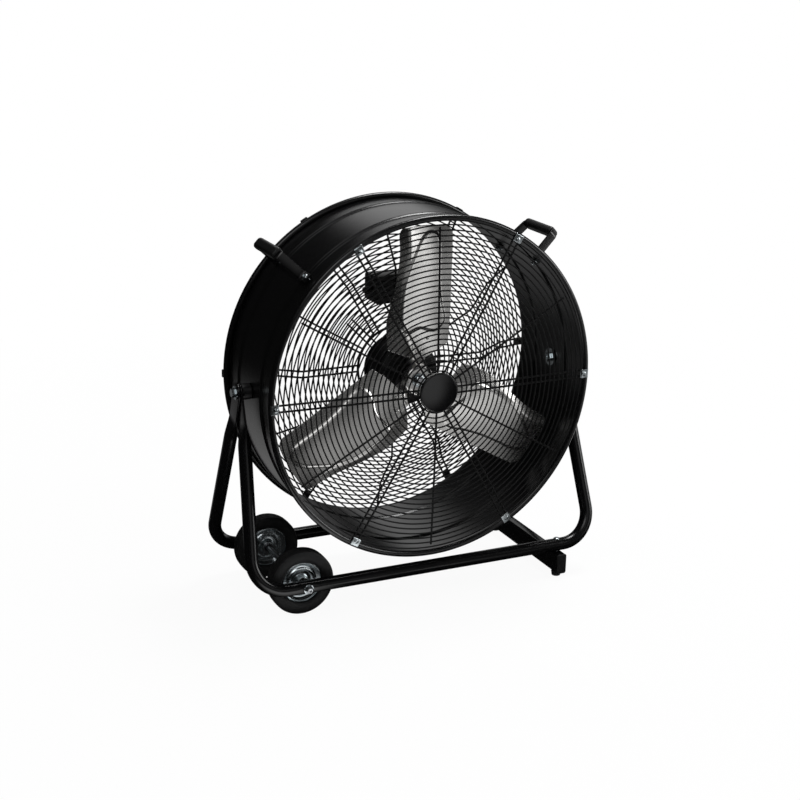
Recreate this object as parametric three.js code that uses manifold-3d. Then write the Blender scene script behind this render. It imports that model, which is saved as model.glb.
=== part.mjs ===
// Drum fan on a wheeled tube frame, in millimetres with +Z up.
// The outlet faces -Y and the wheels are on the -X side. The origin is on the floor, under the tilt axis.
import * as THREE from "three";
import { mergeVertices } from "three/addons/utils/BufferGeometryUtils.js";
import Module from "manifold-3d";

const wasm = await Module();
wasm.setup();

// ---------------------------------------------------------------- driving dimensions

const GAP = 0.3; // between two pieces that touch
const DRUM = {
  radius: 318,
  wall: 1.5,
  depth: 251,
  rollRadius: 6,
  beadHeight: 3,
  beadWidth: 14,
  beadPlaces: [-55, 60],
  sides: 40,
};
const TUBE = {
  diameter: 25,
  wall: 1.5,
  bendRadius: 62,
  flatThickness: 4,
  flatWidth: 36,
  flatClearance: 1,
  flareLength: 40,
};
const FRAME = { outset: 41, spread: 122, sweepClearance: 7 };
const BAR = { width: 20, height: 40, wall: 1.5, overhang: 22, place: 277, plugThickness: 3, plugTongue: 10 };
const FOOT = { height: 9.4, radius: 9.5, fromBarEnd: 17 };
const BAR_BOLT = { radius: 4, headRadius: 7, headHeight: 4, clearance: 0.4 };
const WHEEL = {
  place: -255,
  spacing: 182,
  width: 30,
  tyreDepth: 23,
  rimDish: 5,
  flangeInset: 8,
  hubRadius: 13,
  bushWall: 2.5,
  bushProud: 0.6,
};
const AXLE = { radius: 5, nutRadius: 9, nutHeight: 7, clearance: 0.2, thread: 3 };
const PIVOT = {
  boltRadius: 5,
  clearance: 0.4,
  spacerRadius: 15,
  spacerLength: 19,
  washerRadius: 18,
  washerThickness: 2,
  nutRadius: 9,
  nutHeight: 8,
  thread: 3,
};
const GUARD = {
  wireRadius: 1.4,
  edgeInset: 9,
  innerRadius: 40,
  rings: 3,
  ringSides: 36,
  weld: 0.5,
  dome: 8,
  pairGap: 12,
  seat: 2,
};
const BADGE = { radius: 38, thickness: 4, dish: 3, rimWidth: 6 };
const CLIP = { length: 20, width: 16, thickness: 2, screwHead: 4.5 };
const REAR_GUARD = {
  shoulderInset: 46,
  shoulderDepth: 12,
  neckRadius: 191,
  neckDepth: 64,
  ringRadius: 77,
  ringWire: 2.5,
  loopOuter: 135,
  loopInner: 44,
  loopWire: 1.7,
};
const MOTOR = {
  radius: 62,
  length: 63,
  bellLength: 11,
  mountRadius: 66,
  mountThickness: 3,
  shaftRadius: 7,
  bossRadius: 20,
  bossLength: 8,
  edge: 4,
};
const HUB = {
  space: 18.4,
  radius: 30,
  length: 22,
  recess: 8,
  armWidth: 40,
  armReach: 86,
  armThickness: 3,
  armGap: 1.4,
  nutRadius: 11,
  nutHeight: 9,
  thread: 2,
};
const BLADE = {
  thickness: 1.5,
  tipClearance: 22,
  firstAngle: 89,
  stations: 12,
  bulge: 5,
  tipHalf: 58,
  cornerCut: 8,
  creaseShare: 0.72,
};
const HANDLE = {
  angle: 43,
  place: 4,
  boltSpacing: 142,
  legInset: 11,
  strapWidth: 17,
  strapThickness: 4,
  rise: 60,
  footLength: 22,
  lean: 8,
  bendRadius: 6,
  gripWidth: 23,
  gripThickness: 17,
  gripLength: 82,
};
const HANDLE_BOLT = { radius: 4, headRadius: 7, headHeight: 5, nutHeight: 6, thread: 2, clearance: 0.4 };
const BOX = { width: 80, depth: 50, height: 53, wall: 2.5, chamfer: 3, aboveAxis: 122.5, lidThickness: 3 };
const KNOB = { radius: 17, height: 14, skirt: 3, stemRadius: 3, gripShare: 0.92, gripWidth: 12 };
const GLAND = { radius: 8, length: 16, bore: 3.5, height: 24 };
const CAPACITOR = { radius: 12, length: 34, clearance: 1 };
const SWITCH = { radius: 13, length: 16, behindLid: 4 };
const LEAD = { radius: 3.5, place: 20 };

// ---------------------------------------------------------------- worked out from them

const tubeRadius = TUBE.diameter / 2;
const frameHalf = DRUM.radius + FRAME.outset;
const rimRadius = DRUM.radius - 2 + DRUM.rollRadius * 2; // outermost radius of a rolled rim
// Height of the bottom tubes, the wheel axle and the wheels' middle.
const tubeHeight = FOOT.height + BAR.height + tubeRadius + 2 * GAP;
const sweepRadius = Math.hypot(rimRadius, DRUM.depth / 2); // the drum's corner, as it turns about the pivots
const axisHeight =
  tubeHeight + Math.sqrt((sweepRadius + tubeRadius + FRAME.sweepClearance) ** 2 - FRAME.spread ** 2);
const lean = Math.atan2(FRAME.spread, axisHeight - tubeHeight); // of a tube's plane from upright
// The tubes cross at the pivots, so they stay flat until their widths are clear of each other.
const flatLength = (TUBE.flatWidth / 2 + TUBE.flatClearance) / Math.sin(lean) + TUBE.flatClearance;
const guardEdge = DRUM.radius - GUARD.edgeInset;
const drumFront = -DRUM.depth / 2;
const drumBack = DRUM.depth / 2;
const spacerOuter = DRUM.radius + PIVOT.spacerLength;
// Distance from the axis at which a disc of a radius rests in the drum's curve.
const seatInside = (radius) =>
  Math.sqrt(((DRUM.radius - DRUM.wall) * Math.cos(Math.PI / DRUM.sides)) ** 2 - radius ** 2) - GAP;
const guardPlane = drumFront + GUARD.seat; // middle of the front guard's edge wire
const rearEdgePlane = drumBack - GUARD.seat;
const neckPlane = rearEdgePlane - REAR_GUARD.neckDepth; // the rear guard's flat middle
const motorBack = neckPlane - REAR_GUARD.ringWire - MOTOR.mountThickness - 2 * GAP;
const motorFront = motorBack - MOTOR.length;
const hubBack = motorFront - MOTOR.bossLength - HUB.space;
const hubFront = hubBack - HUB.length;

// ---------------------------------------------------------------- materials

const finish = (color, roughness, metalness) =>
  new THREE.MeshStandardMaterial({ color, roughness, metalness });
const blackPaint = finish(0x161617, 0.32, 0.2);
const blackWire = finish(0x101011, 0.4, 0.2);
const zinc = finish(0xb9bcc0, 0.35, 1);
const aluminium = finish(0xa9aaac, 0.36, 1);
const steel = finish(0x8d9094, 0.35, 1);
const rubber = finish(0x1a1a1b, 0.8, 0);
const foam = finish(0x202022, 0.75, 0);
const blackPlastic = finish(0x18181a, 0.45, 0);

// ---------------------------------------------------------------- helpers

const fan = new THREE.Group();

// Each piece is stored as one closed solid that faces outward, whichever way it was mirrored.
function place(name, geometry, material) {
  const mesh = new THREE.Mesh(fromSolid(solid(geometry)), material);
  mesh.name = name;
  fan.add(mesh);
  return mesh;
}

// Only positions, with shared vertices merged, as a solid needs them.
function bare(geometry) {
  const positions = new THREE.BufferGeometry();
  positions.setAttribute("position", geometry.getAttribute("position"));
  positions.setIndex(geometry.index);
  return mergeVertices(positions, 1e-4);
}

function solid(geometry) {
  const merged = bare(geometry);
  const vertProperties = new Float32Array(merged.getAttribute("position").array);
  const triVerts = new Uint32Array(merged.index.array);
  const body = new wasm.Manifold(new wasm.Mesh({ numProp: 3, vertProperties, triVerts }));
  if (body.volume() >= 0) return body;
  const turnedRound = triVerts.map((_, i) => triVerts[i % 3 === 0 ? i : i + (i % 3 === 1 ? 1 : -1)]);
  return new wasm.Manifold(new wasm.Mesh({ numProp: 3, vertProperties, triVerts: turnedRound }));
}

function fromSolid(body) {
  const mesh = body.getMesh();
  const geometry = new THREE.BufferGeometry();
  geometry.setAttribute("position", new THREE.BufferAttribute(new Float32Array(mesh.vertProperties), 3));
  geometry.setIndex(new THREE.BufferAttribute(new Uint32Array(mesh.triVerts), 1));
  geometry.computeVertexNormals();
  return geometry;
}

// The first geometry joined with the added ones, less the cut ones.
function shaped(first, { add = [], cut = [] } = {}) {
  let body = solid(first);
  for (const piece of add) body = body.add(solid(piece));
  for (const piece of cut) body = body.subtract(solid(piece));
  return fromSolid(body);
}

// A profile of [radius, y] pairs turned about the Y axis.
function turned(profile, segments = 24) {
  return new THREE.LatheGeometry(profile.map(([r, y]) => new THREE.Vector2(r, y)), segments);
}

// A round bar along an axis ("x", "y" or "z") from one coordinate to another.
function rod(axis, radius, from, to, sides = 12) {
  const bar = new THREE.CylinderGeometry(radius, radius, to - from, sides);
  if (axis === "x") bar.rotateZ(-Math.PI / 2);
  if (axis === "z") bar.rotateX(Math.PI / 2);
  const middle = (from + to) / 2;
  return bar.translate(axis === "x" ? middle : 0, axis === "y" ? middle : 0, axis === "z" ? middle : 0);
}

const at = (geometry, x, y, z) => geometry.translate(x, y, z);

function block(low, high) {
  const size = low.map((v, i) => high[i] - v);
  return new THREE.BoxGeometry(...size).translate(...low.map((v, i) => (v + high[i]) / 2));
}

// A closed skin through rings of points that all have the same even number of points.
function loft(rings) {
  const count = rings[0].length;
  const points = rings.flat();
  const index = [];
  for (let i = 0; i + 1 < rings.length; i++)
    for (let j = 0; j < count; j++) {
      const a = i * count + j;
      const b = i * count + ((j + 1) % count);
      index.push(a, b, a + count, b, b + count, a + count);
    }
  // Each end is closed by a strip between the two halves of its ring, so that thin bent ends close true.
  const last = (rings.length - 1) * count;
  for (let j = 0; j + 1 < count / 2; j++) {
    const across = count - 1 - j;
    index.push(j, across, j + 1, j + 1, across, across - 1);
    index.push(last + j, last + j + 1, last + across, last + j + 1, last + across - 1, last + across);
  }
  const geometry = new THREE.BufferGeometry();
  const numbers = points.flatMap((p) => [p.x, p.y, p.z]);
  geometry.setAttribute("position", new THREE.Float32BufferAttribute(numbers, 3));
  geometry.setIndex(index);
  return geometry;
}

// A polyline with its inner corners rounded to arcs: a list of points.
function rounded(corners, radius, steps = 6) {
  const out = [corners[0]];
  for (let i = 1; i + 1 < corners.length; i++) {
    const before = corners[i - 1].clone().sub(corners[i]).normalize();
    const after = corners[i + 1].clone().sub(corners[i]).normalize();
    const half = before.angleTo(after) / 2;
    const toArc = radius / Math.tan(half);
    const bisector = before.clone().add(after).normalize();
    const centre = corners[i].clone().addScaledVector(bisector, radius / Math.sin(half));
    const start = corners[i].clone().addScaledVector(before, toArc).sub(centre);
    const end = corners[i].clone().addScaledVector(after, toArc).sub(centre);
    const turn = start.angleTo(end);
    const axis = start.clone().cross(end).normalize();
    for (let k = 0; k <= steps; k++) {
      out.push(start.clone().applyAxisAngle(axis, (turn * k) / steps).add(centre));
    }
  }
  out.push(corners.at(-1));
  return out;
}

// A section carried along a path that lies in a plane. sectionAt(distance, length) gives [across, normal]
// pairs.
function swept(path, planeNormal, sectionAt) {
  const distances = [0];
  for (let i = 1; i < path.length; i++) distances.push(distances[i - 1] + path[i].distanceTo(path[i - 1]));
  const rings = path.map((point, i) => {
    const ahead = path[Math.min(i + 1, path.length - 1)];
    const behind = path[Math.max(i - 1, 0)];
    const inward = i > 0 ? point.clone().sub(behind).normalize() : ahead.clone().sub(point).normalize();
    const outward = i + 1 < path.length ? ahead.clone().sub(point).normalize() : inward;
    const tangent = inward.clone().add(outward).normalize();
    const across = planeNormal.clone().cross(tangent).normalize();
    const widen = 1 / Math.max(tangent.dot(outward), 0.5);
    return sectionAt(distances[i], distances.at(-1)).map(([u, v]) =>
      point.clone().addScaledVector(across, u * widen).addScaledVector(planeNormal, v),
    );
  });
  return loft(rings);
}

function circle(radius, sides) {
  return Array.from({ length: sides }, (_, i) => {
    const angle = (2 * Math.PI * (i + 0.5)) / sides;
    return [radius * Math.cos(angle), radius * Math.sin(angle)];
  });
}

// A wire ring about the drum's axis, with a square section.
function ring(radius, wire, y) {
  const corners = [[-1, -1], [1, -1], [1, 1], [-1, 1], [-1, -1]];
  const section = corners.map(([a, b]) => [radius + a * wire, y + b * wire]);
  return at(turned(section, GUARD.ringSides), 0, 0, axisHeight);
}

// A wire through [radius, y] points at an angle about the drum's axis, moved sideways by offset. It is
// welded behind rings that run through the same points.
function spoke(points, degrees, offset, wire) {
  const angle = THREE.MathUtils.degToRad(degrees);
  const out = new THREE.Vector3(Math.cos(angle), 0, Math.sin(angle));
  const side = new THREE.Vector3(-Math.sin(angle), 0, Math.cos(angle));
  const behind = GUARD.wireRadius + wire - GUARD.weld;
  const path = points.map(([r, y]) =>
    new THREE.Vector3(0, y + behind, axisHeight).addScaledVector(out, r).addScaledVector(side, offset),
  );
  return swept(path, side, () => circle(wire * Math.SQRT2, 4));
}

// A geometry made at the axis pointing along +X, turned about the drum's axis and raised to it.
function aboutAxis(geometry, degrees) {
  return geometry.rotateY(-THREE.MathUtils.degToRad(degrees)).translate(0, 0, axisHeight);
}

const sixAround = [0, 60, 120, 180, 240, 300];

// ---------------------------------------------------------------- frame

// Path of one U-shaped tube: across the bottom and up to both pivots, in a plane leaning to the tilt axis.
function framePath(side, pivotX) {
  const along = new THREE.Vector3(0, -side * FRAME.spread, axisHeight - tubeHeight);
  const reach = along.length();
  along.normalize();
  const bottom = new THREE.Vector3(0, side * FRAME.spread, tubeHeight);
  const point = (x, up) => bottom.clone().addScaledVector(along, up).setX(x);
  const past = TUBE.flatWidth / 2;
  const straight = (from, to) => [0.15, 0.5, 1].map((k) => from.clone().lerp(to, k));
  const top = (sign) => point(sign * pivotX, reach);
  const flatStart = (sign) => point(sign * pivotX, reach - flatLength);
  const flareStart = (sign) => point(sign * (pivotX + 2), reach - flatLength - TUBE.flareLength);
  const bend = rounded(
    [flareStart(-1), point(-frameHalf, 0), point(frameHalf, 0), flareStart(1)],
    TUBE.bendRadius,
    7,
  );
  const end = [0.4, 0.75, 0.95].map((k) => point(pivotX, reach + past * k));
  const rising = [...straight(flareStart(1), flatStart(1)), top(1), ...end];
  const mirrored = rising.map((p) => p.clone().setX(-p.x)).reverse();
  const normal = new THREE.Vector3(1, 0, 0).cross(along).normalize();
  return { path: [...mirrored, ...bend, ...rising], normal };
}

// Round along its length, pressed flat and rounded off at the pivots.
function frameTube(side, pivotX) {
  const { path, normal } = framePath(side, pivotX);
  const past = TUBE.flatWidth / 2;
  const section = (shrink, sides) => (distance, length) => {
    const fromEnd = Math.min(distance, length - distance) - 0.95 * past;
    const towardsEnd = (flatLength + TUBE.flareLength - fromEnd) / TUBE.flareLength;
    const flatness = THREE.MathUtils.clamp(towardsEnd, 0, 1);
    const beyond = Math.max(-fromEnd, 0);
    const thin = THREE.MathUtils.lerp(tubeRadius, TUBE.flatThickness / 2, flatness) - shrink;
    const wide = THREE.MathUtils.lerp(tubeRadius, past, flatness) - shrink;
    const end = Math.sqrt(Math.max(1 - (beyond / past) ** 2, 0.02));
    return circle(1, sides).map(([u, v]) => {
      const square = 1 - 0.3 * flatness; // pressed flat, the section is squarer than an ellipse
      const shape = (k) => Math.sign(k) * Math.abs(k) ** square;
      return [thin * THREE.MathUtils.lerp(u, Math.sign(u), flatness), wide * end * shape(v)];
    });
  };
  const outer = swept(path, normal, section(0, 10));
  const hollow = path.slice(6, -6);
  const bore = swept(hollow, normal, () => circle(tubeRadius - TUBE.wall, 8));
  const reachOut = frameHalf + TUBE.flatWidth;
  const pivotHole = at(rod("x", PIVOT.boltRadius + PIVOT.clearance, -reachOut, reachOut), 0, 0, axisHeight);
  const y = side * FRAME.spread;
  const through = tubeRadius * 2;
  const axleHole = at(rod("y", AXLE.radius + AXLE.clearance, -through, through), WHEEL.place, y, tubeHeight);
  const boltRadius = BAR_BOLT.radius + BAR_BOLT.clearance;
  const boltHole = at(rod("z", boltRadius, -through, through), BAR.place, y, tubeHeight);
  return shaped(outer, { cut: [bore, pivotHole, axleHole, boltHole] });
}

const frontEndX = spacerOuter + GAP + TUBE.flatThickness / 2;
const rearEndX = frontEndX + TUBE.flatThickness + GAP;
place("front_frame_tube", frameTube(-1, frontEndX), blackPaint);
place("rear_frame_tube", frameTube(1, rearEndX), blackPaint);

// ---------------------------------------------------------------- pivots

for (const [side, sign] of [["left", -1], ["right", 1]]) {
  const mirror = (geometry) => at(geometry.scale(sign, 1, 1), 0, 0, axisHeight);
  const sit = seatInside(PIVOT.washerRadius);
  const headStart = rearEndX + TUBE.flatThickness / 2 + GAP;
  const nutStart = sit - PIVOT.washerThickness - PIVOT.nutHeight;
  const hole = PIVOT.boltRadius + GAP;
  const bolt = shaped(rod("x", PIVOT.boltRadius, nutStart - PIVOT.thread, headStart + 1), {
    add: [
      rod("x", PIVOT.washerRadius * 0.7, headStart, headStart + PIVOT.washerThickness, 20),
      rod("x", PIVOT.nutRadius, headStart + 1, headStart + PIVOT.washerThickness + 6.5, 6),
    ],
  });
  place(`pivot_bolt_${side}`, mirror(bolt), zinc);
  const spacer = shaped(rod("x", PIVOT.spacerRadius, DRUM.radius + GAP, spacerOuter, 16), {
    cut: [rod("x", hole, DRUM.radius - 1, spacerOuter + 1)],
  });
  place(`pivot_spacer_${side}`, mirror(spacer), blackPlastic);
  const nut = shaped(rod("x", PIVOT.washerRadius, sit - PIVOT.washerThickness, sit, 20), {
    add: [rod("x", PIVOT.nutRadius, nutStart, sit - 1, 6)],
    cut: [rod("x", hole, nutStart - 1, sit + 1)],
  });
  place(`pivot_nut_${side}`, mirror(nut), zinc);
}

// ---------------------------------------------------------------- foot bar

const barHalf = FRAME.spread + BAR.overhang;
const barTop = tubeHeight - tubeRadius - GAP;
const barBottom = barTop - BAR.height;
const barLeft = BAR.place - BAR.width / 2;
const barRight = BAR.place + BAR.width / 2;
{
  const outer = block([barLeft, -barHalf, barBottom], [barRight, barHalf, barTop]);
  const inner = block(
    [barLeft + BAR.wall, -barHalf - 1, barBottom + BAR.wall],
    [barRight - BAR.wall, barHalf + 1, barTop - BAR.wall],
  );
  const holes = [-1, 1].map((side) => {
    const hole = rod("z", BAR_BOLT.radius + BAR_BOLT.clearance, barBottom - 1, barTop + 1);
    return at(hole, BAR.place, side * FRAME.spread, 0);
  });
  place("foot_bar", shaped(outer, { cut: [inner, ...holes] }), blackPaint);
}

for (const [end, side] of [["front", -1], ["rear", 1]]) {
  const y = side * FRAME.spread;
  const seat = BAR.wall + GAP;
  const cap = block([barLeft, barHalf + GAP, barBottom], [barRight, barHalf + BAR.plugThickness, barTop]);
  const tongue = block(
    [barLeft + seat, barHalf - BAR.plugTongue, barBottom + seat],
    [barRight - seat, barHalf + 1, barTop - seat],
  );
  place(`bar_plug_${end}`, shaped(cap, { add: [tongue] }).scale(1, side, 1), blackPlastic);
  const footY = side * (barHalf - FOOT.fromBarEnd);
  const foot = turned([
    [0, 0],
    [FOOT.radius * 0.9, 0],
    [FOOT.radius, 1.5],
    [FOOT.radius, FOOT.height - 1],
    [0, FOOT.height],
  ]);
  place(`rubber_foot_${end}`, at(foot.rotateX(Math.PI / 2), BAR.place, footY, 0), rubber);
  const head = tubeHeight + tubeRadius + GAP;
  const boltEnd = barBottom + BAR.wall + GAP;
  const bolt = shaped(rod("z", BAR_BOLT.radius, boltEnd, head + 1), {
    add: [rod("z", BAR_BOLT.headRadius, head, head + BAR_BOLT.headHeight, 6)],
  });
  place(`bar_bolt_${end}`, at(bolt, BAR.place, y, 0), zinc);
}

// ---------------------------------------------------------------- wheels

const wheelRadius = tubeHeight;
const otherSide = (half) => half.map(([r, y]) => [r, -y]).reverse();
const axleEnd = FRAME.spread + tubeRadius + GAP;
{
  const tip = axleEnd + AXLE.nutHeight + AXLE.thread;
  place("wheel_axle", at(rod("y", AXLE.radius, -tip, tip), WHEEL.place, 0, tubeHeight), steel);
}
for (const [end, side] of [["front", -1], ["rear", 1]]) {
  const centre = (side * WHEEL.spacing) / 2;
  const half = WHEEL.width / 2;
  const rimEdge = wheelRadius - WHEEL.tyreDepth;
  const tread = half - 5;
  const tyreHalf = [
    [wheelRadius - 1, tread],
    [wheelRadius - 8, half],
    [rimEdge + 6, half],
    [rimEdge + GAP, half - 6],
  ];
  const tyre = turned([[wheelRadius, 0], ...tyreHalf, ...otherSide(tyreHalf), [wheelRadius, 0]], 32);
  place(`tyre_${end}`, at(tyre, WHEEL.place, centre, tubeHeight), rubber);
  const bushRadius = AXLE.radius + AXLE.clearance + WHEEL.bushWall;
  const edge = half - WHEEL.flangeInset;
  const rimHalf = [
    [bushRadius + GAP, half],
    [WHEEL.hubRadius, half],
    [WHEEL.hubRadius + 2, edge - WHEEL.rimDish],
    [rimEdge - 6, edge - 1],
    [rimEdge, edge],
  ];
  const rim = turned([...rimHalf, ...otherSide(rimHalf), rimHalf[0]]);
  place(`wheel_rim_${end}`, at(rim, WHEEL.place, centre, tubeHeight), zinc);
  const bushHalf = half + WHEEL.bushProud;
  const bush = shaped(rod("y", bushRadius, -bushHalf, bushHalf, 20), {
    cut: [rod("y", AXLE.radius + AXLE.clearance, -bushHalf - 1, bushHalf + 1, 20)],
  });
  place(`wheel_bush_${end}`, at(bush, WHEEL.place, centre, tubeHeight), blackPlastic);
  const nut = shaped(rod("y", AXLE.nutRadius, axleEnd, axleEnd + AXLE.nutHeight, 6), {
    cut: [rod("y", AXLE.radius + GAP, axleEnd - 1, axleEnd + AXLE.nutHeight + 1)],
  });
  place(`axle_nut_${end}`, at(nut.scale(1, side, 1), WHEEL.place, 0, tubeHeight), zinc);
}

// ---------------------------------------------------------------- drum shell

{
  const inner = DRUM.radius - DRUM.wall;
  const rollCentre = rimRadius - DRUM.rollRadius;
  const rollSteps = 5;
  const angleAt = (radius) => Math.acos((radius - rollCentre) / DRUM.rollRadius);
  const startTurn = angleAt(inner);
  const endTurn = angleAt(DRUM.radius) + 2 * Math.PI;
  const roll = Array.from({ length: rollSteps + 1 }, (_, i) => {
    const turn = startTurn + ((endTurn - startTurn) * i) / rollSteps;
    const y = drumBack - DRUM.rollRadius * (1 + Math.sin(turn));
    return [rollCentre + DRUM.rollRadius * Math.cos(turn), y];
  });
  const bead = (middle) => {
    const half = DRUM.beadWidth / 2;
    const top = half / 3;
    return [
      [0, middle - half],
      [DRUM.beadHeight, middle - top],
      [DRUM.beadHeight, middle + top],
      [0, middle + half],
    ];
  };
  const wave = DRUM.beadPlaces.flatMap(bead);
  const front = roll.map(([r, y]) => [r, -y]).reverse();
  const profile = [
    ...wave.map(([rise, y]) => [inner + rise, y]),
    ...roll,
    ...wave.map(([rise, y]) => [DRUM.radius + rise, y]).reverse(),
    ...front,
  ];
  profile.push(profile[0]);
  const shell = at(turned(profile, DRUM.sides), 0, 0, axisHeight);
  const reach = DRUM.radius + 20;
  const holes = [at(rod("x", PIVOT.boltRadius + PIVOT.clearance, -reach, reach), 0, 0, axisHeight)];
  for (const angle of [HANDLE.angle, 180 - HANDLE.angle])
    for (const end of [-0.5, 0.5]) {
      const hole = rod("x", HANDLE_BOLT.radius + HANDLE_BOLT.clearance, DRUM.radius - 20, reach);
      holes.push(aboutAxis(at(hole, 0, HANDLE.place + end * HANDLE.boltSpacing, 0), angle));
    }
  place("drum_shell", shaped(shell, { cut: holes }), blackPaint);
}

// ---------------------------------------------------------------- front guard, badge and clips

// Wires that run out through a profile: a pair to each clip and a single one half way between.
function radials(profile) {
  return sixAround.flatMap((angle) => [
    spoke(profile, angle, -GUARD.pairGap / 2, GUARD.wireRadius),
    spoke(profile, angle, GUARD.pairGap / 2, GUARD.wireRadius),
    spoke(profile, angle + 30, 0, GUARD.wireRadius),
  ]);
}
function joined(name, pieces, material) {
  const [first, ...others] = pieces;
  place(name, shaped(first, { add: others }), material);
}
const guardDepth = (radius) => guardPlane - GUARD.dome * (1 - (radius / guardEdge) ** 2);
{
  const rings = Array.from({ length: GUARD.rings }, (_, i) => {
    const share = i / (GUARD.rings - 1);
    return GUARD.innerRadius + (guardEdge - GUARD.innerRadius) * share;
  });
  const run = [GUARD.innerRadius - 4, 120, 220, guardEdge + 1].map((r) => [r, guardDepth(r)]);
  const wires = rings.map((r) => ring(r, GUARD.wireRadius, guardDepth(r)));
  const plate = turned(
    [[0, -1], [GUARD.innerRadius - 3, -1], [GUARD.innerRadius - 3, 1], [0, 1], [0, -1]],
    32,
  );
  const middle = at(plate, 0, guardDepth(GUARD.innerRadius), axisHeight);
  joined("front_guard", [...wires, middle, ...radials(run)], blackWire);
}
{
  const back = guardDepth(GUARD.innerRadius) - GUARD.wireRadius - GAP;
  const front = back - BADGE.thickness;
  const disc = turned(
    [
      [0, back],
      [BADGE.radius, back],
      [BADGE.radius, front + 1],
      [BADGE.radius - 1.5, front],
      [BADGE.radius - BADGE.rimWidth, front + BADGE.dish - 1],
      [0, front + BADGE.dish - 1.5],
    ],
    32,
  );
  place("guard_badge", at(disc, 0, 0, axisHeight), blackPlastic);
}

// A folded clip over the rolled rim with its screw through the pair of wires.
function guardClip(faceY, outward) {
  const plateY = faceY + outward * (CLIP.thickness / 2);
  const inner = rimRadius - DRUM.rollRadius * 2 - CLIP.length * 0.4;
  const low = (v) => Math.min(v, v + outward * CLIP.thickness);
  const plate = block(
    [inner, low(faceY), -CLIP.width / 2],
    [rimRadius - DRUM.rollRadius * 0.6, low(faceY) + CLIP.thickness, CLIP.width / 2],
  );
  const screwX = inner + CLIP.length * 0.35;
  const head = rod("y", CLIP.screwHead, -CLIP.thickness / 2, CLIP.thickness * 1.5);
  return shaped(plate, { add: [at(head.scale(1, outward, 1), screwX, plateY, 0)] });
}
sixAround.forEach((angle, i) => {
  const face = drumFront - GAP;
  place(`guard_clip_${i + 1}`, aboutAxis(guardClip(face, -1), angle), zinc);
});

// ---------------------------------------------------------------- rear guard

// The dish slopes from the drum's rim in to its neck. The grille is flat and carries the motor.
const dishProfile = [
  [guardEdge, rearEdgePlane],
  [guardEdge - REAR_GUARD.shoulderInset, rearEdgePlane - REAR_GUARD.shoulderDepth],
  [REAR_GUARD.neckRadius, neckPlane],
];
const grilleRadius = REAR_GUARD.neckRadius - 2 * GUARD.wireRadius - GAP;

{
  const wires = [dishProfile[0], dishProfile.at(-1)].map(([r, y]) => ring(r, GUARD.wireRadius, y));
  const tabEnd = rimRadius - DRUM.rollRadius;
  for (const angle of sixAround) {
    const tab = block(
      [guardEdge - 8, drumBack + GAP, -CLIP.width / 2],
      [tabEnd, drumBack + GAP + CLIP.thickness, CLIP.width / 2],
    );
    const stem = block(
      [guardEdge - 8, rearEdgePlane - 1, -CLIP.width / 2],
      [guardEdge - 3, drumBack + 1, CLIP.width / 2],
    );
    wires.push(aboutAxis(tab, angle), aboutAxis(stem, angle));
  }
  joined("rear_guard_dish", [...wires, ...radials(dishProfile)], blackWire);
}
{
  const run = [[grilleRadius, neckPlane], [REAR_GUARD.ringRadius, neckPlane]];
  const rings = [grilleRadius, REAR_GUARD.loopOuter].map((r) => ring(r, GUARD.wireRadius, neckPlane));
  const motorRing = ring(REAR_GUARD.ringRadius, REAR_GUARD.ringWire, neckPlane);
  const loop = [[REAR_GUARD.loopOuter, neckPlane], [REAR_GUARD.loopInner, neckPlane]];
  const brackets = [45, 135, 225, 315].flatMap((angle) =>
    [-0.5, 0.5].map((side) => spoke(loop, angle, side * GUARD.pairGap, REAR_GUARD.loopWire)),
  );
  joined("rear_guard_grille", [motorRing, ...rings, ...radials(run), ...brackets], blackWire);
}

// ---------------------------------------------------------------- motor

{
  const plateFront = motorBack + GAP;
  const plateBack = plateFront + MOTOR.mountThickness;
  const plate = shaped(rod("y", MOTOR.mountRadius, plateFront, plateBack, 32), {
    cut: [rod("y", MOTOR.bossRadius + 2, plateFront - 1, plateBack + 1, 24)],
  });
  place("motor_mount_plate", at(plate, 0, 0, axisHeight), blackPaint);
  const bellBack = motorFront + MOTOR.bellLength;
  const body = turned([
    [0, bellBack + GAP],
    [MOTOR.radius, bellBack + GAP],
    [MOTOR.radius, motorBack - MOTOR.edge],
    [MOTOR.radius - MOTOR.edge, motorBack],
    [0, motorBack],
  ]);
  place("motor_body", at(body, 0, 0, axisHeight), blackPaint);
  const bore = MOTOR.shaftRadius + GAP;
  const bellFace = motorFront - MOTOR.bossLength;
  const bell = turned([
    [bore, bellBack],
    [bore, bellFace],
    [MOTOR.bossRadius, bellFace],
    [MOTOR.bossRadius + MOTOR.edge, motorFront],
    [MOTOR.radius - 2 * MOTOR.edge, motorFront],
    [MOTOR.radius, motorFront + 1.5 * MOTOR.edge],
    [MOTOR.radius, bellBack],
    [bore, bellBack],
  ]);
  place("motor_end_bell", at(bell, 0, 0, axisHeight), blackPaint);
}

// ---------------------------------------------------------------- rotor

// A blade's sheet in its own frame: s runs out from the axis, t to the leading side. Each row gives s, t and
// the depth behind the hub's front.
const bladeCourse = {
  leading: [[60, 66, 25], [120, 65, 19], [180, 63, 16], [240, 61, 13], [300, 59, 13]],
  crease: [[60, -24, -7], [120, -48, -10], [180, -51, -13], [240, -36, -10], [300, -38, -4]],
  trailing: [[60, -68, 3], [120, -75, -1], [180, -64, -7], [240, -54, -3], [300, -55, 5]],
};
function courseAt(course, s) {
  const last = course.length - 1;
  let i = 0;
  while (i < last - 1 && s > course[i + 1][0]) i++;
  const [s0, t0, y0] = course[i];
  const [s1, t1, y1] = course[i + 1];
  const share = (s - s0) / (s1 - s0);
  return [t0 + (t1 - t0) * share, hubFront + y0 + (y1 - y0) * share];
}
const rootReach = (t) => HUB.radius + 6 + 26 * (Math.abs(t) / 70) ** 2;

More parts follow.
